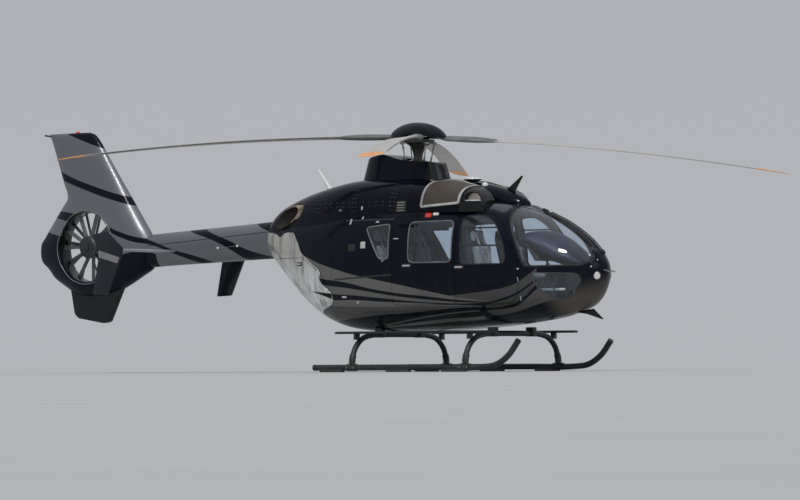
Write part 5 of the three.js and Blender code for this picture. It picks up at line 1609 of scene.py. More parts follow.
fairing_tool = make_object("fairing_tool", *skin([
    rounded_ring(2560 + 450 * t, -205 - 10 * t, 730 - 140 * t, 335 - 73 * t) for t in np.linspace(0, 1, 9)]))
FAIRING = Hull(fairing_tool)
fairing = carve(copy_of(fairing_tool, "mast_fairing_skin"), prism("side", MAST_FAIRING_SIDE, -500, 500, 70, 10),
                "INTERSECT")
carve(fairing, round_tool(232, 2700, 3300, 96))
carve(fairing, round_tool(120, 2000, 3300))
carve(fairing, envelope, keep=True)
fairing_nose = carve(copy_of(fairing, "mast_fairing_nose"), block(302, 900, -600, 600, 2400, 3200), "INTERSECT")
carve(fairing, block(300, 900, -600, 600, 2400, 3200))
fit(fairing, "navy", ["mast_fairing"], (FAIRING,))
fit(fairing_nose, "satin", ["mast_fairing_front"], (FAIRING,))

ROOF_FAIRING = [(540.4, 270, 2640), (900, 262, 2600), (1300, 245, 2530), (1600, 200, 2440), (1800, 130, 2350),
                (1890, 50, 2290)]
roof_rings = []
for x, half, top in steady_rows(ROOF_FAIRING, 6):
    section = egg_section(half, 2050, top, 2120, 2.0, 3.0, 64)
    roof_rings.append(np.column_stack([np.full(len(section), x), section]))
roof_tool = make_object("roof_tool", *skin(roof_rings))
ROOF = Hull(roof_tool)
roof_skin = carve(copy_of(roof_tool, "roof_fairing_skin"), pod_tool, keep=True)
fit(roof_skin, "navy", ["roof_fairing"], (ROOF,))

UPPER_CUTTER = [(1740, 2290), (1655, 2440), (1790, 2640), (1765, 2640), (1530, 2470), (1600, 2290)]
LOWER_CUTTER = [(2700, 800), (2950, 830), (3110, 690), (3085, 690), (2850, 760), (2700, 780)]
for title, points, node in (("upper_wire_cutter", UPPER_CUTTER, "roof_fairing"),
                            ("lower_wire_cutter", LOWER_CUTTER, "wire_cutter_lower")):
    cutter = prism("side", points, -9, 9)
    cutter.name = title
    carve(cutter, pod_tool, keep=True)
    fit(bevelled(cutter, 4, 2), "black", [node])

# %% [markdown]
# The exhausts are round pipes, cut off at a slant nearly flush with the cowling. A box larger than the pipe's
# end does the cutting. The faces inside, those underneath and those aft of the cut's middle get the sooty steel.

# %% Exhausts
SLANT_NORMAL = (-0.3322, 0.8997, 0.2833)
SLANT_CENTRE = [c + 24 * n for c, n in zip((-1978, 384, 2172), SLANT_NORMAL)]
SLANT_REACH, SOOT_FROM_X = 900, -2060
CORNERS = ((-1, -1), (1, -1), (1, 1), (-1, 1))
middle, out = np.array(SLANT_CENTRE), np.array(SLANT_NORMAL)
level = np.cross(out, (0, 0, 1.0))
rise = np.cross(level, out)
slant_box = [[middle + out * far + (level * a + rise * b) * SLANT_REACH for a, b in CORNERS]
             for far in (0, SLANT_REACH)]
for side_name, side in SIDES:
    pipe = exhaust_tool(side, EXHAUST_RADIUS, 0, f"exhaust_skin_{side_name}")
    carve(pipe, exhaust_tool(side, EXHAUST_RADIUS - 12, 60))
    carve(pipe, make_object("half_space", *skin([[(x, side * y, z) for x, y, z in ring] for ring in slant_box])))
    fit(soft_shade(pipe, 40), "exhaust", [f"exhaust_pipe_{side_name}"])
    pipe.data.materials.append(MAT["soot"])
    a, b = (Vector(metres([(x, side * y, z)])[0]) for x, y, z in (EXHAUST_START, EXHAUST_END))
    axis = (b - a).normalized()
    for face in pipe.data.polygons:
        away = face.center - a
        away -= axis * away.dot(axis)
        inside = away.length < (EXHAUST_RADIUS - 9) / 1000 and away.dot(face.normal) < -0.02 * away.length
        if inside or away.z < -0.5 * away.length or (face.center.x - MAST_X) * 1000 < SOOT_FROM_X:
            face.material_index = 1

# %% [markdown]
# Landing gear: two bent cross tubes, two skid tubes that turn up at the front, wear shoes under them and a long
# step board on each side. The tubes follow a smooth curve through the CAD's own points.

# %% Landing gear
SKID_Y, SKID_Z, CROSS_TUBES = 1050.0, 62.0, {"front": 1590.0, "rear": -350.0}
CROSS_PATH = [(-1050, 104), (-1038, 190), (-975, 330), (-820, 455), (-560, 508), (-300, 512)]
SKID_PATH = [(-1010, 62), (0, 62), (1100, 62), (1850, 62), (2110, 95), (2310, 215), (2480, 415)]
for title, x in CROSS_TUBES.items():
    points = [(x, y, z) for y, z in CROSS_PATH] + [(x, -y, z) for y, z in CROSS_PATH[::-1]]
    bar = tube(f"cross_tube_bar_{title}", smooth_path(metres(points), 0.02), 0.038, 32)
    fit(bar, "gear", [f"cross_tube_{title}"])
for side_name, side in SIDES:
    path = smooth_path(metres([(x, side * SKID_Y, z) for x, z in SKID_PATH]), 0.03)
    skid = tube(f"skid_tube_{side_name}", path, 0.041, 32)
    fit(skid, "gear", [f"skid_{side_name}"])
    for number, (x0, x1) in enumerate(((-900, -500), (250, 650), (1200, 1600))):
        shoe = block(x0, x1, side * SKID_Y - 32, side * SKID_Y + 32, 0, 50)
        shoe.name = f"skid_shoe_{side_name}_{number}"
        fit(bevelled(shoe, 8, 3), "dark_steel", [f"skid_{side_name}"])
    near, far = sorted((side * 880, side * 1010))
    board = block(-690, 1960, near, far, 520, 550)
    board.name = f"step_board_{side_name}"
    fit(bevelled(board, 12, 3), "gear", [f"step_{side_name}"])
    for title, x in CROSS_TUBES.items():
        bracket = block(x - 22, x + 22, near + 20, far - 20, 440, 525)
        bracket.name = f"step_bracket_{side_name}_{title}"
        fit(bevelled(bracket, 5, 2), "gear", [f"step_{side_name}"])

# %% [markdown]
# The cabin. Inside the walls a pale liner replaces the outer paint: every face of a panel that lies on the
# inner hull gets the liner's finish. The floor, the engines and the gearbox keep their CAD meshes, with a
# finish of their own.

# %% Liner and kept CAD nodes
def line_inside(thing, finish):
    thing.data.materials.append(MAT[finish])
    for face in thing.data.polygons:
        _, _, outside = POD.nearest(face.center)
        _, _, inside = POD_INSIDE.nearest(face.center)
        if inside < 0.004 and inside < outside:
            face.material_index = len(thing.data.materials) - 1


line_inside(cabin_shell, "liner")
line_inside(rear_shell, "liner")
for side_name, _ in SIDES:
    for title in ("front_door_skin", "sliding_door_skin", "clamshell_skin"):
        line_inside(bpy.data.objects[f"{title}_{side_name}"], "liner")
for node, finish in (("cabin_floor", "carpet"), ("engine_right", "steel"), ("engine_left", "steel"),
                     ("main_gearbox", "dark_steel")):
    kept = bpy.data.objects[node]
    if not kept.material_slots:
        kept.data.materials.append(MAT[finish])
    for slot in kept.material_slots:
        slot.material = MAT[finish]

# %% [markdown]
# Seat cushions are leather pads that bulge between their seams. Each starts as a slightly smaller rounded block.
# Blender's Cloth, with air pressure inside and the seam line held still, blows it up, and the distance that a
# point may move is capped. Sewn channels are pressed in afterwards, because the remesh would erase them.

# %% Cushions
CUSHION_CAP, CUSHION_VOXEL = 0.018, 0.011
cushion_meshes = {}


def applied(thing):
    mesh = modified_mesh(thing)
    thing.modifiers.clear()
    thing.data = mesh
    return thing


def blown_up(thing, thick):
    rest = [v.co.copy() for v in thing.data.vertices]
    held = thing.vertex_groups.new(name="seam")
    held.add([i for i, p in enumerate(rest) if abs(p.z) < thick * 0.1 and is_rim(p, thing)], 1.0, "ADD")
    cloth = thing.modifiers.new("cloth", "CLOTH")
    cloth.settings.vertex_group_mass = "seam"
    cloth.settings.use_pressure = True
    cloth.settings.uniform_pressure_force = 4.0
    cloth.settings.effector_weights.gravity = 0.0
    scene = bpy.context.scene
    for number in range(1, 21):
        scene.frame_set(number)
    moved = modified_mesh(thing)
    thing.modifiers.clear()
    for vertex, start, end in zip(thing.data.vertices, rest, moved.vertices):
        step = end.co - start
        vertex.co = start + step * min(1.0, CUSHION_CAP / max(step.length, 1e-9))
    scene.frame_set(1)
    return thing


def is_rim(point, thing):
    half_x, half_y = thing["half"]
    return abs(point.x) > half_x * 0.93 or abs(point.y) > half_y * 0.93


def cushion_mesh(length, width, thick, channels):
    key = (length, width, thick, channels)
    if key in cushion_meshes:
        return cushion_meshes[key].copy()
    l, w, t = length / 2000 - 0.008, width / 2000 - 0.008, thick / 2000 - 0.008
    book = bmesh.new()
    bmesh.ops.create_cube(book, size=2.0)
    bmesh.ops.scale(book, vec=(l, w, t), verts=book.verts)
    bmesh.ops.bevel(book, geom=list(book.edges), offset=t * 0.75, segments=5, profile=0.6, affect="EDGES",
                    clamp_overlap=True)
    mesh = bpy.data.meshes.new("pad")
    book.to_mesh(mesh)
    book.free()
    pad = placed("pad", mesh)
    pad["half"] = (l, w)
    remesh = pad.modifiers.new("even", "REMESH")
    remesh.mode, remesh.voxel_size = "VOXEL", CUSHION_VOXEL
    applied(pad)
    blown_up(pad, t)
    fine = pad.modifiers.new("fine", "SUBSURF")
    fine.levels = 1
    applied(pad)
    for vertex in pad.data.vertices:
        p = vertex.co
        for axis, share in channels:
            away = p[axis] - share * (l, w)[axis]
            p.z -= math.copysign(0.006, p.z) * math.exp(-(away / 0.008) ** 2)
        rim = max(abs(p.x) / (l + 0.012), abs(p.y) / (w + 0.012))
        if rim > 0.96:
            vertex.co = p * (1 - 0.02 * math.exp(-(p.z / 0.005) ** 2))
    pad.data.shade_smooth()
    cushion_meshes[key] = pad.data
    bpy.data.objects.remove(pad)
    return cushion_meshes[key].copy()


def cushion(name, node, size, centre, tilt_deg, channels):
    """A pad whose thickness axis leans back by tilt_deg from straight up, about the y axis."""
    mesh = cushion_mesh(*size, channels)
    turn = Matrix.Rotation(math.radians(tilt_deg), 4, "Y")
    mesh.transform(Matrix.Translation(Vector(metres([centre])[0])) @ turn)
    thing = placed(name, mesh)
    fit(thing, "leather", [node])
    return thing

# %% [markdown]
# Each seat has a plastic pedestal and back shell, three cushions and a four-point belt. The pilots' seats and the
# bench of three behind them use the same parts in two widths.

# %% Seats
FLOOR_TOP = 880.0
SHELL = [(0, 325), (-150, 980), (-132, 1108), (-108, 1112), (-92, 1000), (-45, 880), (22, 430), (60, 330)]
BASE = [(10, 1), (45, 130), (12, 322), (495, 322), (508, 200), (510, 1)]


def seat(name, x, y, half, height, node):
    def lift(z):
        return FLOOR_TOP + (330 + (z - 330) * height if z > 330 else z)

    base = prism("side", [(x + u, FLOOR_TOP + z) for u, z in BASE], y - half + 15, y + half - 15, 25, 5)
    base.name = f"{name}_base"
    fit(bevelled(base, 12, 3), "cabin", [node])
    shell = prism("side", [(x + u, lift(z)) for u, z in SHELL], y - half + 4, y + half - 4, 20, 5)
    shell.name = f"{name}_shell"
    fit(bevelled(shell, 14, 3), "cabin", [node])
    wide = 2 * half - 24
    cushion(f"{name}_pan", node, (455, wide, 96), (x + 272, y, FLOOR_TOP + 380), -3, ((1, -0.5), (1, 0.5)))
    cushion(f"{name}_back", node, (430, wide - 10, 92), (x + 42, y, lift(662)), -97, ((0, -0.35), (0, 0.3)))
    cushion(f"{name}_head", node, (150, 240, 78), (x - 66, y, lift(1005)), -102, ())
    for offset in (-1, 1):
        points = [(x - 118, y + offset * 55, lift(1108)), (x - 60, y + offset * 62, lift(1085)),
                  (x + 38, y + offset * 66, lift(900)), (x + 108, y + offset * 58, lift(700)),
                  (x + 128, y + offset * 38, lift(520)), (x + 150, y + offset * 22, FLOOR_TOP + 458),
                  (x + 196, y + offset * 12, FLOOR_TOP + 448)]
        path = smooth_path(metres(points), 0.012)
        normals = np.array([Vector((0.9, 0, 0.45))] * len(path))
        strap = ribbon(f"{name}_strap_{'rl'[offset > 0]}", path, normals, flat_section(0.044, -0.0015, 0.0015))
        fit(strap, "webbing", [node])
    points = [(x + 60, y - half + 8, FLOOR_TOP + 350), (x + 130, y - half + 22, FLOOR_TOP + 430),
              (x + 190, y - 90, FLOOR_TOP + 448), (x + 205, y, FLOOR_TOP + 452), (x + 190, y + 90, FLOOR_TOP + 448),
              (x + 130, y + half - 22, FLOOR_TOP + 430), (x + 60, y + half - 8, FLOOR_TOP + 350)]
    path = smooth_path(metres(points), 0.012)
    normals = np.array([(0.25, 0, 0.97)] * len(path))
    lap = ribbon(f"{name}_lap_belt", path, normals, flat_section(0.044, -0.0015, 0.0015))
    fit(lap, "webbing", [node])
    buckle = turned(f"{name}_buckle", [(0, 0), (30, 0), (33, 4), (33, 13), (28, 18), (0, 19)], 32,
                    lambda p: (x + 203 + p[0], y + p[1], FLOOR_TOP + 447 + p[2]))
    fit(buckle, "steel", [node])


for side_name, side in SIDES:
    seat(f"pilot_seat_part_{side_name}", 1330, side * 360, 205, 0.9, f"pilot_seat_{side_name}")
for number, y in enumerate((-420, 0, 420)):
    seat(f"cabin_seat_{number}", -300, y, 190, 0.95, "cabin_seats")
rail = block(-290, -210, -600, 600, 880.5, 940)
rail.name = "cabin_seat_rail"
fit(bevelled(rail, 8, 2), "dark_steel", ["cabin_seats"])

# %% [markdown]
# The instrument panel. Through the windscreen the photograph shows one big dark dome: the glare shield, a hood
# that overhangs the instruments and runs down ahead of them. Under it stand the panel's face with its
# four displays, and the console between the pilots.

# %% Instrument panel
GLARE_SHIELD = [(2010, 300, 1745, 1850), (2040, 385, 1695, 1880), (2150, 400, 1640, 1888), (2300, 385, 1498, 1865),
                (2450, 365, 1446, 1800), (2600, 325, 1408, 1700), (2750, 270, 1400, 1585), (2870, 190, 1405, 1470)]
hood_rings = []
for x, half, bottom, top in steady_rows(GLARE_SHIELD, 6):
    section = egg_section(half, bottom, top, bottom + (top - bottom) * 0.42, 2.3, 2.2, 72)
    hood_rings.append(np.column_stack([np.full(len(section), x), section]))
hood = make_object("glare_shield", *skin(hood_rings))
fit(soft_shade(hood, 40), "hood", ["instrument_panel"])
PANEL_PARTS = (  # side outline, half width, corner, steps of the corner, bevel
    ("panel_face", [(2080, 1690), (2130, 1690), (2290, 1525), (2290, 1482), (2240, 1476), (2226, 1482)], 335, 10, 3, 6),
    ("panel_column", [(2180, 881), (2180, 1180), (2290, 1372), (2400, 1378), (2440, 1250), (2330, 881)], 110, 30, 4,
     10),
    ("centre_console", [(1850, 881), (1850, 1080), (2200, 1260), (2300, 881)], 120, 20, 4, 10),
)
for title, outline, half, corner, steps, bevel in PANEL_PARTS:
    part = prism("side", outline, -half, half, corner, steps)
    part.name = title
    fit(bevelled(part, bevel, 2), "cabin", ["instrument_panel"])
PANEL_TOP, PANEL_FOOT = Vector((2080, 0, 1690)), Vector((2226, 0, 1482))
slope = (PANEL_FOOT - PANEL_TOP).normalized()
outward = Vector((slope.z, 0, -slope.x))


def on_panel(along, across, lift):
    spot = PANEL_TOP + slope * along + outward * lift
    return spot.x, across, spot.z


def panel_slab(name, along, across, length, width, low, high, finish):
    rings = [[on_panel(along + a * length / 2, across + c * width / 2, lift) for a, c in CORNERS]
             for lift in (low, high)]
    slab = make_object(name, *skin(rings))
    return fit(bevelled(slab, 2.5, 2), finish, ["instrument_panel"])


for number, across in enumerate((-245, -82, 82, 245)):
    panel_slab(f"display_frame_{number}", 152, across, 168, 150, -2, 12, "trim")
    panel_slab(f"display_{number}", 152, across, 140, 118, 12, 14, "screen")
for number, across in enumerate(np.linspace(-270, 270, 9)):
    dial = turned(f"panel_dial_{number}", [(0, 0), (14, 0), (13, 12), (11, 16), (0, 16)], 24,
                  lambda p, a=across: on_panel(44 + p[0], a + p[1], p[2]))
    fit(dial, "trim", ["instrument_panel"])
for row in range(5):
    for column_number, across in enumerate((-62, 0, 62)):
        x = 1880 + 60 * row
        top = 1080 + (x - 1850) * (180 / 350)
        key = block(x - 20, x + 20, across - 24, across + 24, top - 12, top + 16)
        key.name = f"console_unit_{row}_{column_number}"
        fit(bevelled(key, 4, 2), "trim", ["instrument_panel"])

# %% [markdown]
# Each pilot has a stick with a grip, a lever beside the seat and two pedals. They are bent tubes, drawn through a
# few points in side view, and the grip's bulges come from a radius that changes along its path.

# %% Controls
STICK = [(1905, 882), (1925, 1020), (1985, 1200), (1975, 1340), (1930, 1440)]
GRIP = [(1935, 1428), (1918, 1480), (1912, 1545)]
LEVER = [(1390, 960), (1600, 1090), (1800, 1190)]
PEDAL_ARM = [(2250, 884), (2270, 960), (2262, 1030)]


def bent(points, y, step=0.02):
    return smooth_path(metres([(x, y, z) for x, z in points]), step)


for side_name, side in SIDES:
    y = side * 360
    fit(tube(f"cyclic_stick_{side_name}", bent(STICK, y), 0.014, 16), "trim")
    grip = bent(GRIP, y, 0.012)
    widths = [0.02 + 0.006 * math.sin(i * 1.1) for i in range(len(grip))]
    fit(tube(f"cyclic_grip_{side_name}", grip, 0.02, 20, taper=widths), "rubber")
    fit(tube(f"collective_{side_name}", bent(LEVER, y - side * 215), 0.016, 16), "trim")
    for number, (x, length) in enumerate(((2497, 200), (2712, 150))):
        rest = block(x - length / 2, x + length / 2, side * 430 - 20, side * 430 + 20, 1074, 1106)
        rest.name = f"foot_rest_{side_name}_{number}"
        fit(bevelled(rest, 8, 2), "grey")
    for offset in (-90, 90):
        ending = f"{side_name}_{'rl'[offset > 0]}"
        fit(tube(f"pedal_arm_{ending}", bent(PEDAL_ARM, y + offset), 0.012, 14), "dark_steel")
        plate = block(2240, 2256, y + offset - 45, y + offset + 45, 990, 1090)
        plate.name = f"pedal_{ending}"
        fit(bevelled(plate, 4, 2), "dark_steel")

# %% [markdown]
# Small fittings. A fitting stands on the skin at a place read off the photograph: the hull gives the point and the
# direction there, and a turned or flat piece is set on it.

# %% Helpers for fittings
def mast_mm(place):
    return Vector(((place.x - MAST_X) * 1000, place.y * 1000, place.z * 1000))


def standing(name, profile, spot, normal, segments=32, degrees=40):
    turn = Vector((0, 0, 1)).rotation_difference(Vector(normal)).to_matrix()
    return turned(name, profile, segments, lambda p: tuple(Vector(spot) + turn @ Vector(p)), degrees=degrees)


FORWARD = Vector((1, 0, 0))


def slab_at(name, outline, spot, normal, low, high, bevel=2.0):
    normal = Vector(normal).normalized()
    across = (FORWARD - normal * normal.dot(FORWARD)).normalized()
    up = normal.cross(across)
    up = up if up.z >= 0 else -up
    rings = [[tuple(Vector(spot) + across * u + up * v + normal * lift) for u, v in outline] for lift in (low, high)]
    return bevelled(make_object(name, *skin(rings)), bevel, 2)


def box_outline(length, height, corner=0.0):
    l, h = length / 2, height / 2
    points = [(-l, -h), (l, -h), (l, h), (-l, h)]
    return [tuple(p) for p in rounded(points, corner, 5)] if corner else points


def on_side(x, z, side, hull=POD):
    spot, normal = hull.from_side(x, z, side)
    return mast_mm(spot), normal


def from_front(y, z):
    spot, normal = POD.from_front(y, z)
    return mast_mm(spot), normal


def straight(name, start, end, radius, sides=16):
    return tube(name, even_path(metres([start, end]), 0.05), radius / 1000, sides)

# %% [markdown]
# The intakes: on each side a bulged wire-mesh panel in a pale frame, and ahead of it a dark hood with a pale scoop.

# %% Intakes
INTAKE_ROWS = [(575, 405, 355, 2237), (700, 412, 358, 2245), (900, 414, 332, 2256), (1080, 408, 280, 2266),
               (1205, 398, 236, 2275)]
INTAKE_INNER, INTAKE_LEAN, INTAKE_FOOT_Z = 285.0, 60.0, 2152


def intake_ring(row, side, lift=0.0, lean=INTAKE_LEAN):
    x, wide, high, base = row
    ring = []
    for t in np.linspace(0, math.pi / 2, 40):
        u, v = math.cos(t) ** (2 / 2.8), math.sin(t) ** (2 / 2.8)
        ring.append((x + lean * v, side * (INTAKE_INNER + (wide + lift) * u), base + (high + lift) * v))
    return ring


def intake_skin(rows, side, narrower, lean):
    rings = []
    for row in steady_rows(rows, 5):
        foot = [(row[0], side * (INTAKE_INNER + wide), INTAKE_FOOT_Z) for wide in (0, row[1] - narrower)]
        rings.append([*foot, *intake_ring(row, side, lean=lean)])
    return skin(rings)


for side_name, side in SIDES:
    panel = make_object(f"intake_mesh_{side_name}", *intake_skin(INTAKE_ROWS, side, 52, INTAKE_LEAN))
    carve(panel, pod_tool, keep=True)
    fit(soft_shade(panel, 35), "mesh", replaces=[f"intake_{side_name}"])
    panel.data.materials.append(MAT["navy"])
    for face in panel.data.polygons:
        x = (face.center.x - MAST_X) * 1000
        if face.center.z * 1000 < 2237 + (x - 575) * 0.06:
            face.material_index = 1
    for title, row in (("rear", INTAKE_ROWS[0]), ("front", INTAKE_ROWS[-1])):
        path = intake_ring(row, side, 1.0)
        path = smooth_path(metres(path[::3] + [path[-1]]), 0.015)
        normals = [np.cross((1.0, 0, 0), direction) * side for direction in tangents(path)]
        frame_strip = ribbon(f"intake_frame_{title}_{side_name}", path, normals, flat_section(0.036, -0.006, 0.007))
        fit(frame_strip, "grey")
    for title, place in (("bottom", 0), ("top", -2)):
        path = [intake_ring(row, side, 1.0)[place] for row in steady_rows(INTAKE_ROWS, 4)]
        path = smooth_path(metres(path), 0.02)
        normal = (0.0, side * 1.0, 0.25) if title == "bottom" else (0.0, 0.0, 1.0)
        frame_strip = ribbon(f"intake_frame_{title}_{side_name}", path, [normal] * len(path),
                             flat_section(0.034, -0.006, 0.007))
        fit(frame_strip, "grey")

SCOOP_ROWS = [(1200, 392, 232, 2272), (1280, 380, 236, 2262), (1380, 350, 220, 2245), (1460, 312, 180, 2225),
              (1530, 258, 105, 2205)]
SCOOP_MOUTH = [(1262, 2296), (1272, 2345), (1302, 2392), (1350, 2418), (1405, 2412), (1460, 2372), (1500, 2298)]
SCOOP_DOME = [(1260, 2296), (1274, 2350), (1310, 2390), (1360, 2406), (1412, 2398), (1458, 2356), (1484, 2296)]
for side_name, side in SIDES:
    scoop = make_object(f"scoop_hood_{side_name}", *intake_skin(SCOOP_ROWS, side, 20, 0.0))
    pocket = side_prism(SCOOP_MOUTH, side, 530, 900, 24)
    dome = side_prism(SCOOP_DOME, side, 480, 556, 24)
    liner = carve(copy_of(scoop, f"scoop_liner_{side_name}"), dome, "INTERSECT")
    carve(scoop, pocket)
    carve(scoop, pod_tool, keep=True)
    carve(liner, pod_tool, keep=True)
    fit(soft_shade(scoop, 35), "black")
    fit(soft_shade(liner, 35), "scoop")
    sill = slab_at(f"scoop_sill_{side_name}", box_outline(212, 86, 8), (1382, side * 586, 2302), (0, 0, 1), -7, 7)
    fit(sill, "white")

# %% [markdown]
# On the roof: a white round antenna on a dark foot, a small dome beside it, and the whip behind, thick at its foot.
# The round ones are turned, and the whip is a tube with a radius that shrinks along its path.

# %% Roof fittings
for title, profile, segments, finish, slot in (
        ("roof_antenna", [(0, -30), (60, -30), (95, -10), (120, 0), (124, 6)], 48, "trim", "black_skin"),
        ("roof_antenna_top", [(0, 2), (118, 2), (124, 7), (118, 22), (90, 34), (40, 40), (0, 41)], 48, "white",
         "white_trim"),
        ("roof_antenna_foot", [(0, -60), (70, -60), (60, -28), (0, -28)], 32, "black", "black_skin")):
    fit(standing(title, profile, (1023, -110, 2605), (0, 0, 1), segments), finish)
spot, normal = ROOF.from_above(1232, -117)
fit(standing("roof_dome", [(0, -4), (44, -4), (44, 6), (36, 22), (20, 32), (0, 35)], mast_mm(spot), normal), "white")
whip_path = smooth_path(metres([(-1540, 0, 2500), (-1600, 0, 2590), (-1700, 0, 2722), (-1788, 0, 2838)]), 0.01)
widths = [0.04 - 0.029 * (i / (len(whip_path) - 1)) for i in range(len(whip_path))]
fit(tube("whip_rod", whip_path, 0.02, 20, taper=widths), "white", replaces=["whip_antenna"])
fit(standing("whip_foot", [(0, -30), (40, -30), (38, -6), (30, 10), (26, 26), (0, 28)], (-1534, 0, 2500),
             (-0.42, 0, 0.9)), "white", replaces=["whip_antenna"])
# %% [markdown]
# The cowling's fasteners are small turned heads in rows beside the seams, each standing on the hull's own direction.
# All of them become one mesh, since hundreds of single pieces would only make the scene slow.

# %% Cowling fasteners
FASTENER = [(0, -2), (8.5, -2), (8.5, 0.6), (6, 1.6), (0, 1.8)]
LEAST_SIDEWAYS = 0.25
seam_spots = [(seam_x + offset, z, LEAST_SIDEWAYS) for seam_x in (40, -640, -1330) for offset in (-26, 26)
              for z in range(2205, 2560, 58)]
row_spots = [(x, z, 0.0) for x in range(-1900, 20, 118) for z in (2272, 2328)
             if min(abs(x + 1330), abs(x + 640)) >= 60]
fasteners = []
for _, side in SIDES:
    for x, z, least in seam_spots + row_spots:
        hit = ENVELOPE.from_side(x, z, side)
        if hit is not None and abs(hit[1].y) >= least:
            fasteners.append(standing("fastener", FASTENER, mast_mm(hit[0]), hit[1], 12))
fit(joined("cowl_fasteners", fasteners), "dark_steel")
print(len(fasteners), "fasteners")

# %% [markdown]
# On the tail: the beacon on the fin, the probe behind it, the tail light at the very end, and the antenna wire that
# runs along the boom between two posts.

# %% Tail fittings
BEACON = [(0, -10), (34, -10), (34, 2), (29, 4), (29, 14), (22, 26), (10, 30), (0, 31)]
fit(standing("fin_beacon", BEACON, (-6345, 0, 3513), (0, 0, 1)), "red_lamp")
fit(standing("fin_beacon_base", [(0, -14), (44, -14), (44, -2), (38, 3), (0, 3)], (-6345, 0, 3513), (0, 0, 1)), "trim")
fit(straight("fin_probe", (-6840, 0, 3480), (-7000, 0, 3502), 13), "black")
fit(standing("tail_light", [(0, -6), (24, -6), (24, 8), (16, 20), (0, 25)], (-7045, 0, 1890), (-1, 0, 0.1)), "clear")
wire = straight("antenna_wire", (-3491, -184, 1769), (-3112, -201, 1791), 3)
fit(wire, "steel")
for number, (x, y, z) in enumerate(((-3491, -150, 1769), (-3112, -168, 1791))):
    fit(standing(f"wire_post_{number}", [(0, 0), (16, 0), (16, 14), (10, 20), (10, 40), (17, 46), (17, 60), (0, 64)],
                 (x, y + 16, z), (0, -1, 0)), "white")

# %% [markdown]
# Lights, handles, hinges and latches on the sides. Small flat fittings are slabs set on the skin's own direction,
# from one table of places and sizes, so that both sides get the same. A hinge is a row of short bars on one line:
# the pin and two barrels stay with the frame, and the knuckle between them turns with the door.

# %% Side fittings
for side_name, side in SIDES:
    for title, x, z, length, height, finish in (
            ("position_light", 696, 2110, 108, 76, "red_lamp" if side < 0 else "green_lamp"),
            ("strobe_light", 812, 2122, 92, 44, "white")):
        spot, normal = on_side(x, z, side)
        base = box_outline(length + 12, height + 10, height * 0.45)
        fit(slab_at(f"{title}_base_{side_name}", base, spot, normal, -3, 5), "trim")
        fit(slab_at(f"{title}_{side_name}", box_outline(length, height, height * 0.42), spot, normal, 4, 30, 9), finish)
    for title, x, z, length, body in (("front_handle", 1281, 1405, 130, f"front_door_{side_name}"),
                                      ("sliding_handle", 395, 1440, 130, "airframe"),
                                      ("clamshell_handle", -1640, 1500, 90, f"clamshell_door_{side_name}")):
        spot, normal = on_side(x, z, side)
        fit(slab_at(f"{title}_recess_{side_name}", box_outline(length + 30, 54, 20), spot, normal, -3, 1.5, 0.6),
            "trim", body=body)
        fit(slab_at(f"{title}_{side_name}", box_outline(length, 20, 8), spot, normal, 8, 16, 3), "chrome", body=body)
        for end in (-0.38, 0.38):
            foot = spot + Vector((length * end, 0, 0))
            post = standing(f"{title}_post_{side_name}_{'ab'[end > 0]}", [(0, -4), (7, -4), (7, 10), (0, 10)], foot,
                            normal, 16)
            fit(post, "chrome", body=body)
    for title, x, z, length, height, finish in (
            ("upper_latch", 199, 1810, 92, 15, "chrome"), ("roof_latch", -163, 2047, 60, 24, "chrome"),
            ("static_port", -372, 1736, 84, 92, "grey"), ("side_vent", -574, 1700, 130, 96, "rubber"),
            ("cowl_hook", -655, 2062, 32, 84, "chrome"), ("cowl_hook_upper", -486, 2246, 28, 52, "chrome"),
            ("cowl_hook_lower", -452, 2110, 28, 44, "chrome"), ("rear_window_stop", -22, 1512, 46, 18, "steel"),
            ("lower_latch", -722, 1029, 90, 24, "chrome"),
            ("fuel_cap_latch", -479, 953, 34, 34, "chrome"), ("cowl_vent", 194, 2250, 172, 156, "rubber"),
            ("cowl_latch_rear", -880, 2225, 54, 26, "steel"), ("belly_drain", 2180, 1370, 20, 20, "chrome")):
        spot, normal = on_side(x, z, side, ENVELOPE if z > 2160 else POD)
        fit(slab_at(f"{title}_{side_name}", box_outline(length, height, 8), spot, normal, -3, 4, 1.5), finish)
    louvres = []
    for row in range(4):
        spot, normal = on_side(194, 2196 + 36 * row, side, ENVELOPE)
        louvres.append(slab_at("louvre", box_outline(124, 13, 3), spot, normal, 2, 12, 2))
    fit(joined(f"cowl_vent_louvres_{side_name}", louvres), "steel")
    for title, centre, axis, door_body, reach in (
            ("front_hinge", (2222, side * 680, 1100), (-0.208 * -side, 0.0249, 0.978 * -side),
             f"front_door_{side_name}", 130),
            ("clamshell_hinge", (-1102, side * 738, 1245), (-0.589 * -side, 0.0747, 0.8046 * -side),
             f"clamshell_door_{side_name}", 160)):
        axis = Vector(axis).normalized()
        for number, shift in enumerate((-1, 1)):
            middle = Vector(centre) + axis * reach * shift
            knuckle = 34 if title.startswith("clam") else 26
            for part, low, high, body in (("pin", -knuckle - 5, knuckle + 5, "airframe"),
                                          ("barrel", -knuckle, -knuckle / 3, "airframe"),
                                          ("barrel_upper", knuckle / 3, knuckle, "airframe"),
                                          ("knuckle", -knuckle / 3, knuckle / 3, door_body)):
                radius = 5 if part == "pin" else 9
                bar = straight(f"{title}_{part}_{side_name}_{number}", tuple(middle + axis * low),
                               tuple(middle + axis * high), radius)
                fit(bar, "chrome" if part == "pin" else "steel", body=body)

# %% [markdown]
# The nose: wipers parked beside the centre post, their housings at its foot, the landing light, two pitot tubes, and
# the bright screws of the nose panel.

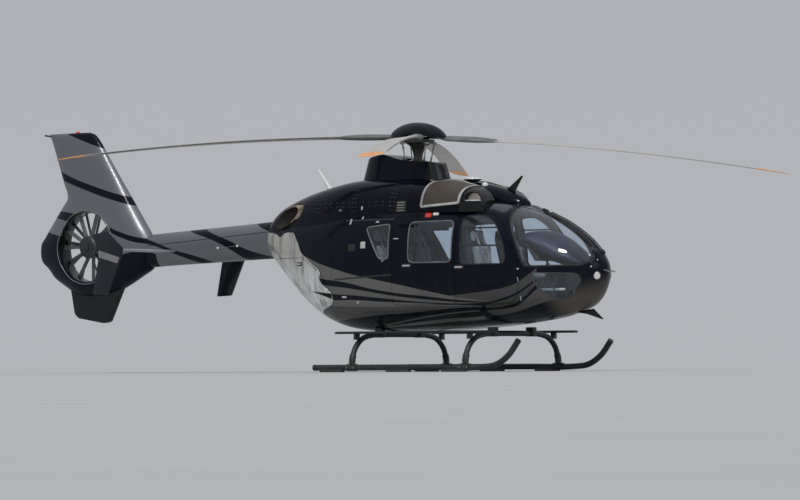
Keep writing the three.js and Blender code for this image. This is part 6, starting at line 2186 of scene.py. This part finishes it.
# %% Nose fittings
for side_name, side in SIDES:
    arm, blade = [], []
    for z in np.linspace(1600, 2130, 10):
        spot, normal = from_front(side * (80 - 26 * (z - 1600) / 530), z)
        arm.append(spot + normal * (17 if z < 2050 else 13))
        if z > 1700:
            spot, normal = from_front(side * (98 - 22 * (z - 1600) / 530), z)
            blade.append(spot + normal * 9)
    fit(tube(f"wiper_arm_{side_name}", smooth_path(metres(arm), 0.02), 0.007, 14), "trim")
    path = smooth_path(metres(blade), 0.02)
    normals = [POD.nearest(Vector(p))[1] for p in path]
    fit(ribbon(f"wiper_blade_{side_name}", path, normals, flat_section(0.01, -0.007, 0.007)), "rubber")
    spot, normal = from_front(side * 84, 1585)
    fit(standing(f"wiper_housing_{side_name}", [(0, -12), (46, -12), (44, 10), (32, 24), (14, 31), (0, 32)], spot,
                 normal), "black")
    spot, normal = from_front(side * 60, 1345)
    fit(straight(f"pitot_tube_{side_name}", tuple(spot - normal * 4), (3262, side * 62, 1318), 9), "steel")
    spot, normal = from_front(side * 155, 1268)
    fit(standing(f"landing_light_bowl_{side_name}", [(0, -6), (46, -6), (50, 0), (50, 5), (43, 7), (38, 2), (0, -3)],
                 spot, normal), "chrome")
    fit(standing(f"landing_light_lens_{side_name}", [(0, 5), (40, 5), (40, 7), (26, 12), (0, 14)], spot, normal),
        "clear")
    fit(standing(f"landing_light_disc_{side_name}", [(0, -1), (42, -1), (42, 3), (30, 4), (0, 4)], spot, normal),
        "white")
    screws = []
    for x, y, z in ((2950, 173, 1630), (2998, 85, 1631), (3023, 183, 1535), (3066, 217, 1387), (3105, 120, 1480),
                    (2190, 650, 1365)):
        spot, normal = POD.nearest(Vector(metres([(x, side * y, z)])[0]))[:2]
        screws.append(standing("screw", [(0, -2), (10, -2), (10, 2), (6, 4), (0, 4.5)], mast_mm(spot), normal, 16))
    fit(joined(f"nose_screws_{side_name}", screws), "chrome")
spot, normal = from_front(0, 2155)
fit(slab_at("post_bracket", box_outline(90, 44, 8), spot, normal, -5, 26, 6), "trim")

# %% [markdown]
# Doors: the sliding door runs on two rails, and the front door's window has two dark bars across it. Both are
# ribbons along a row of points where lines from the side meet the skin or the glass.

# %% Rails and bars
def line_on(hull, side, spots):
    hits = [hull.from_side(x, z, side) for x, z in spots]
    return [spot for spot, _ in hits], [normal for _, normal in hits]


for side_name, side in SIDES:
    for title, z, lean, x0, x1 in (("lower_rail", 1322, 0.05, -900, 128), ("upper_rail", 2078, 0.0, -760, 128)):
        path, normals = line_on(POD, side, [(x, z + (x - x1) * lean) for x in np.linspace(x0, x1, 24)])
        fit(ribbon(f"{title}_{side_name}", path, normals, flat_section(0.022, -0.003, 0.0035)), "trim")
    for number, (z, x0, x1) in enumerate(((1931, 1285, 1800), (1689, 1285, 1935))):
        path, normals = line_on(GLASS, side, [(x, z) for x in np.linspace(x0, x1, 14)])
        path = [spot - normal * 0.001 for spot, normal in zip(path, normals)]
        bar = ribbon(f"vent_bar_{side_name}_{number}", path, normals, flat_section(0.02, -0.006, 0.006))
        fit(bar, "trim", body=f"front_door_{side_name}")

# %% [markdown]
# Landing gear fittings: clamps where the cross tubes meet the skids, saddles under the belly, end caps, and ribbed
# grip strips on the step boards.

# %% Gear fittings
for side_name, side in SIDES:
    for title, x in CROSS_TUBES.items():
        points = smooth_path(metres([(x, side * -y, z) for y, z in CROSS_PATH[:3]]), 0.01)
        fit(tube(f"cross_tube_socket_{title}_{side_name}", points[2:14], 0.046, 28), "gear")
        clamp = straight(f"skid_clamp_{title}_{side_name}", (x - 85, side * SKID_Y, SKID_Z),
                         (x + 85, side * SKID_Y, SKID_Z), 49, 32)
        fit(clamp, "gear")
        bolts = []
        for dx in (-60, 60):
            for dz, normal in ((49, (0, 0, 1)), (0, (0, side, 0))):
                spot = (x + dx, side * SKID_Y + side * (0 if dz else 48), SKID_Z + dz - 2)
                bolts.append(standing("bolt", [(0, 0), (11, 0), (11, 8), (0, 9)], spot, normal, 6, 30))
        fit(joined(f"clamp_bolts_{title}_{side_name}", bolts), "steel")
        saddle = block(x - 62, x + 62, side * 430 - 45, side * 430 + 45, 470, 598)
        saddle.name = f"saddle_{title}_{side_name}"
        carve(saddle, pod_tool, keep=True)
        fit(bevelled(saddle, 8, 2), "gear")
    ribs = []
    near, far = sorted((side * 880, side * 1010))
    for x in range(-640, 1930, 64):
        ribs.append(block(x - 20, x + 20, near + 14, far - 14, 549, 553.5))
    fit(joined(f"step_grip_{side_name}", [bevelled(rib, 2, 1) for rib in ribs]), "rubber")
    fit(standing(f"skid_cap_{side_name}", [(0, -8), (43, -8), (43, 4), (36, 12), (0, 14)],
                 (-1010, side * SKID_Y, SKID_Z), (-1, 0, 0)), "black")

# %% [markdown]
# A plain pale floor under a pale studio sky. Two wide, soft sources light it evenly: a warm one from above the
# camera's left and a weaker, cooler one from the front, with the sky itself brighter above than at the horizon.

# %% Floor and light
def make_floor():
    half = 400.0
    floor = make_object("studio_floor", [(-half, -half, 0), (half, -half, 0), (half, half, 0), (-half, half, 0)],
                        [(0, 1, 2, 3)], in_frame=True)
    material, tree, shader = new_material("studio_floor", (0.5, 0.5, 0.497), 0.9, Specular_IOR_Level=0.1)
    patches = spread(tree, noise(tree, object_place(tree), 1.3, 6.0, 0.6), 0.3, 0.7)
    link(tree, mixed(tree, patches, (0.49, 0.49, 0.487), (0.51, 0.51, 0.507)), shader.inputs["Base Color"])
    floor.data.materials.append(material)
    return floor


def make_sky():
    world = bpy.data.worlds.new("studio_sky")
    world.use_nodes = True
    bpy.context.scene.world = world
    tree = world.node_tree
    background = next(n for n in tree.nodes if n.type == "BACKGROUND")
    direction = split(tree, tree.nodes.new("ShaderNodeTexCoord").outputs["Generated"])
    ramp = tree.nodes.new("ShaderNodeValToRGB")
    stops = [(0.0, (0.4, 0.41, 0.43)), (0.5, (0.45, 0.46, 0.485)), (0.56, (0.43, 0.445, 0.475)),
             (0.78, (0.5, 0.525, 0.57)), (1.0, (0.75, 0.78, 0.83))]
    ramp.color_ramp.elements[0].position, ramp.color_ramp.elements[0].color = stops[0][0], (*stops[0][1], 1)
    ramp.color_ramp.elements[1].position, ramp.color_ramp.elements[1].color = stops[-1][0], (*stops[-1][1], 1)
    for place, color in stops[1:-1]:
        ramp.color_ramp.elements.new(place).color = (*color, 1)
    link(tree, spread(tree, direction["Z"], -1.0, 1.0, smooth=False), ramp.inputs[0])
    link(tree, ramp.outputs[0], background.inputs["Color"])
    background.inputs["Strength"].default_value = 1.0
    return world


def make_soft_source(name, direction, spread_deg, power, color):
    data = bpy.data.lights.new(name, "SUN")
    data.angle = math.radians(spread_deg)
    data.energy, data.color = power, color
    lamp = placed(name, data)
    lamp.rotation_euler = Vector(direction).to_track_quat("-Z", "Y").to_euler()
    return lamp


make_floor()
make_sky()
make_soft_source("key_source", (-0.35, 0.75, -0.95), 7.0, 1.1, (1.0, 0.97, 0.93))
make_soft_source("front_source", (-0.9, 0.15, -0.45), 30.0, 0.3, (0.94, 0.97, 1.0))
bpy.context.scene.view_settings.view_transform = "Standard"

# %% [markdown]
# Last, the hulls that only served as cutting tools go.

# %% Cutting hulls dropped
drop(pod_tool, pod_inner_tool, glass_out, pod_shell, glass_shell, envelope, fin_tool, boom_tool, fairing_tool,
     roof_tool, bpy.data.objects["cover_out"])
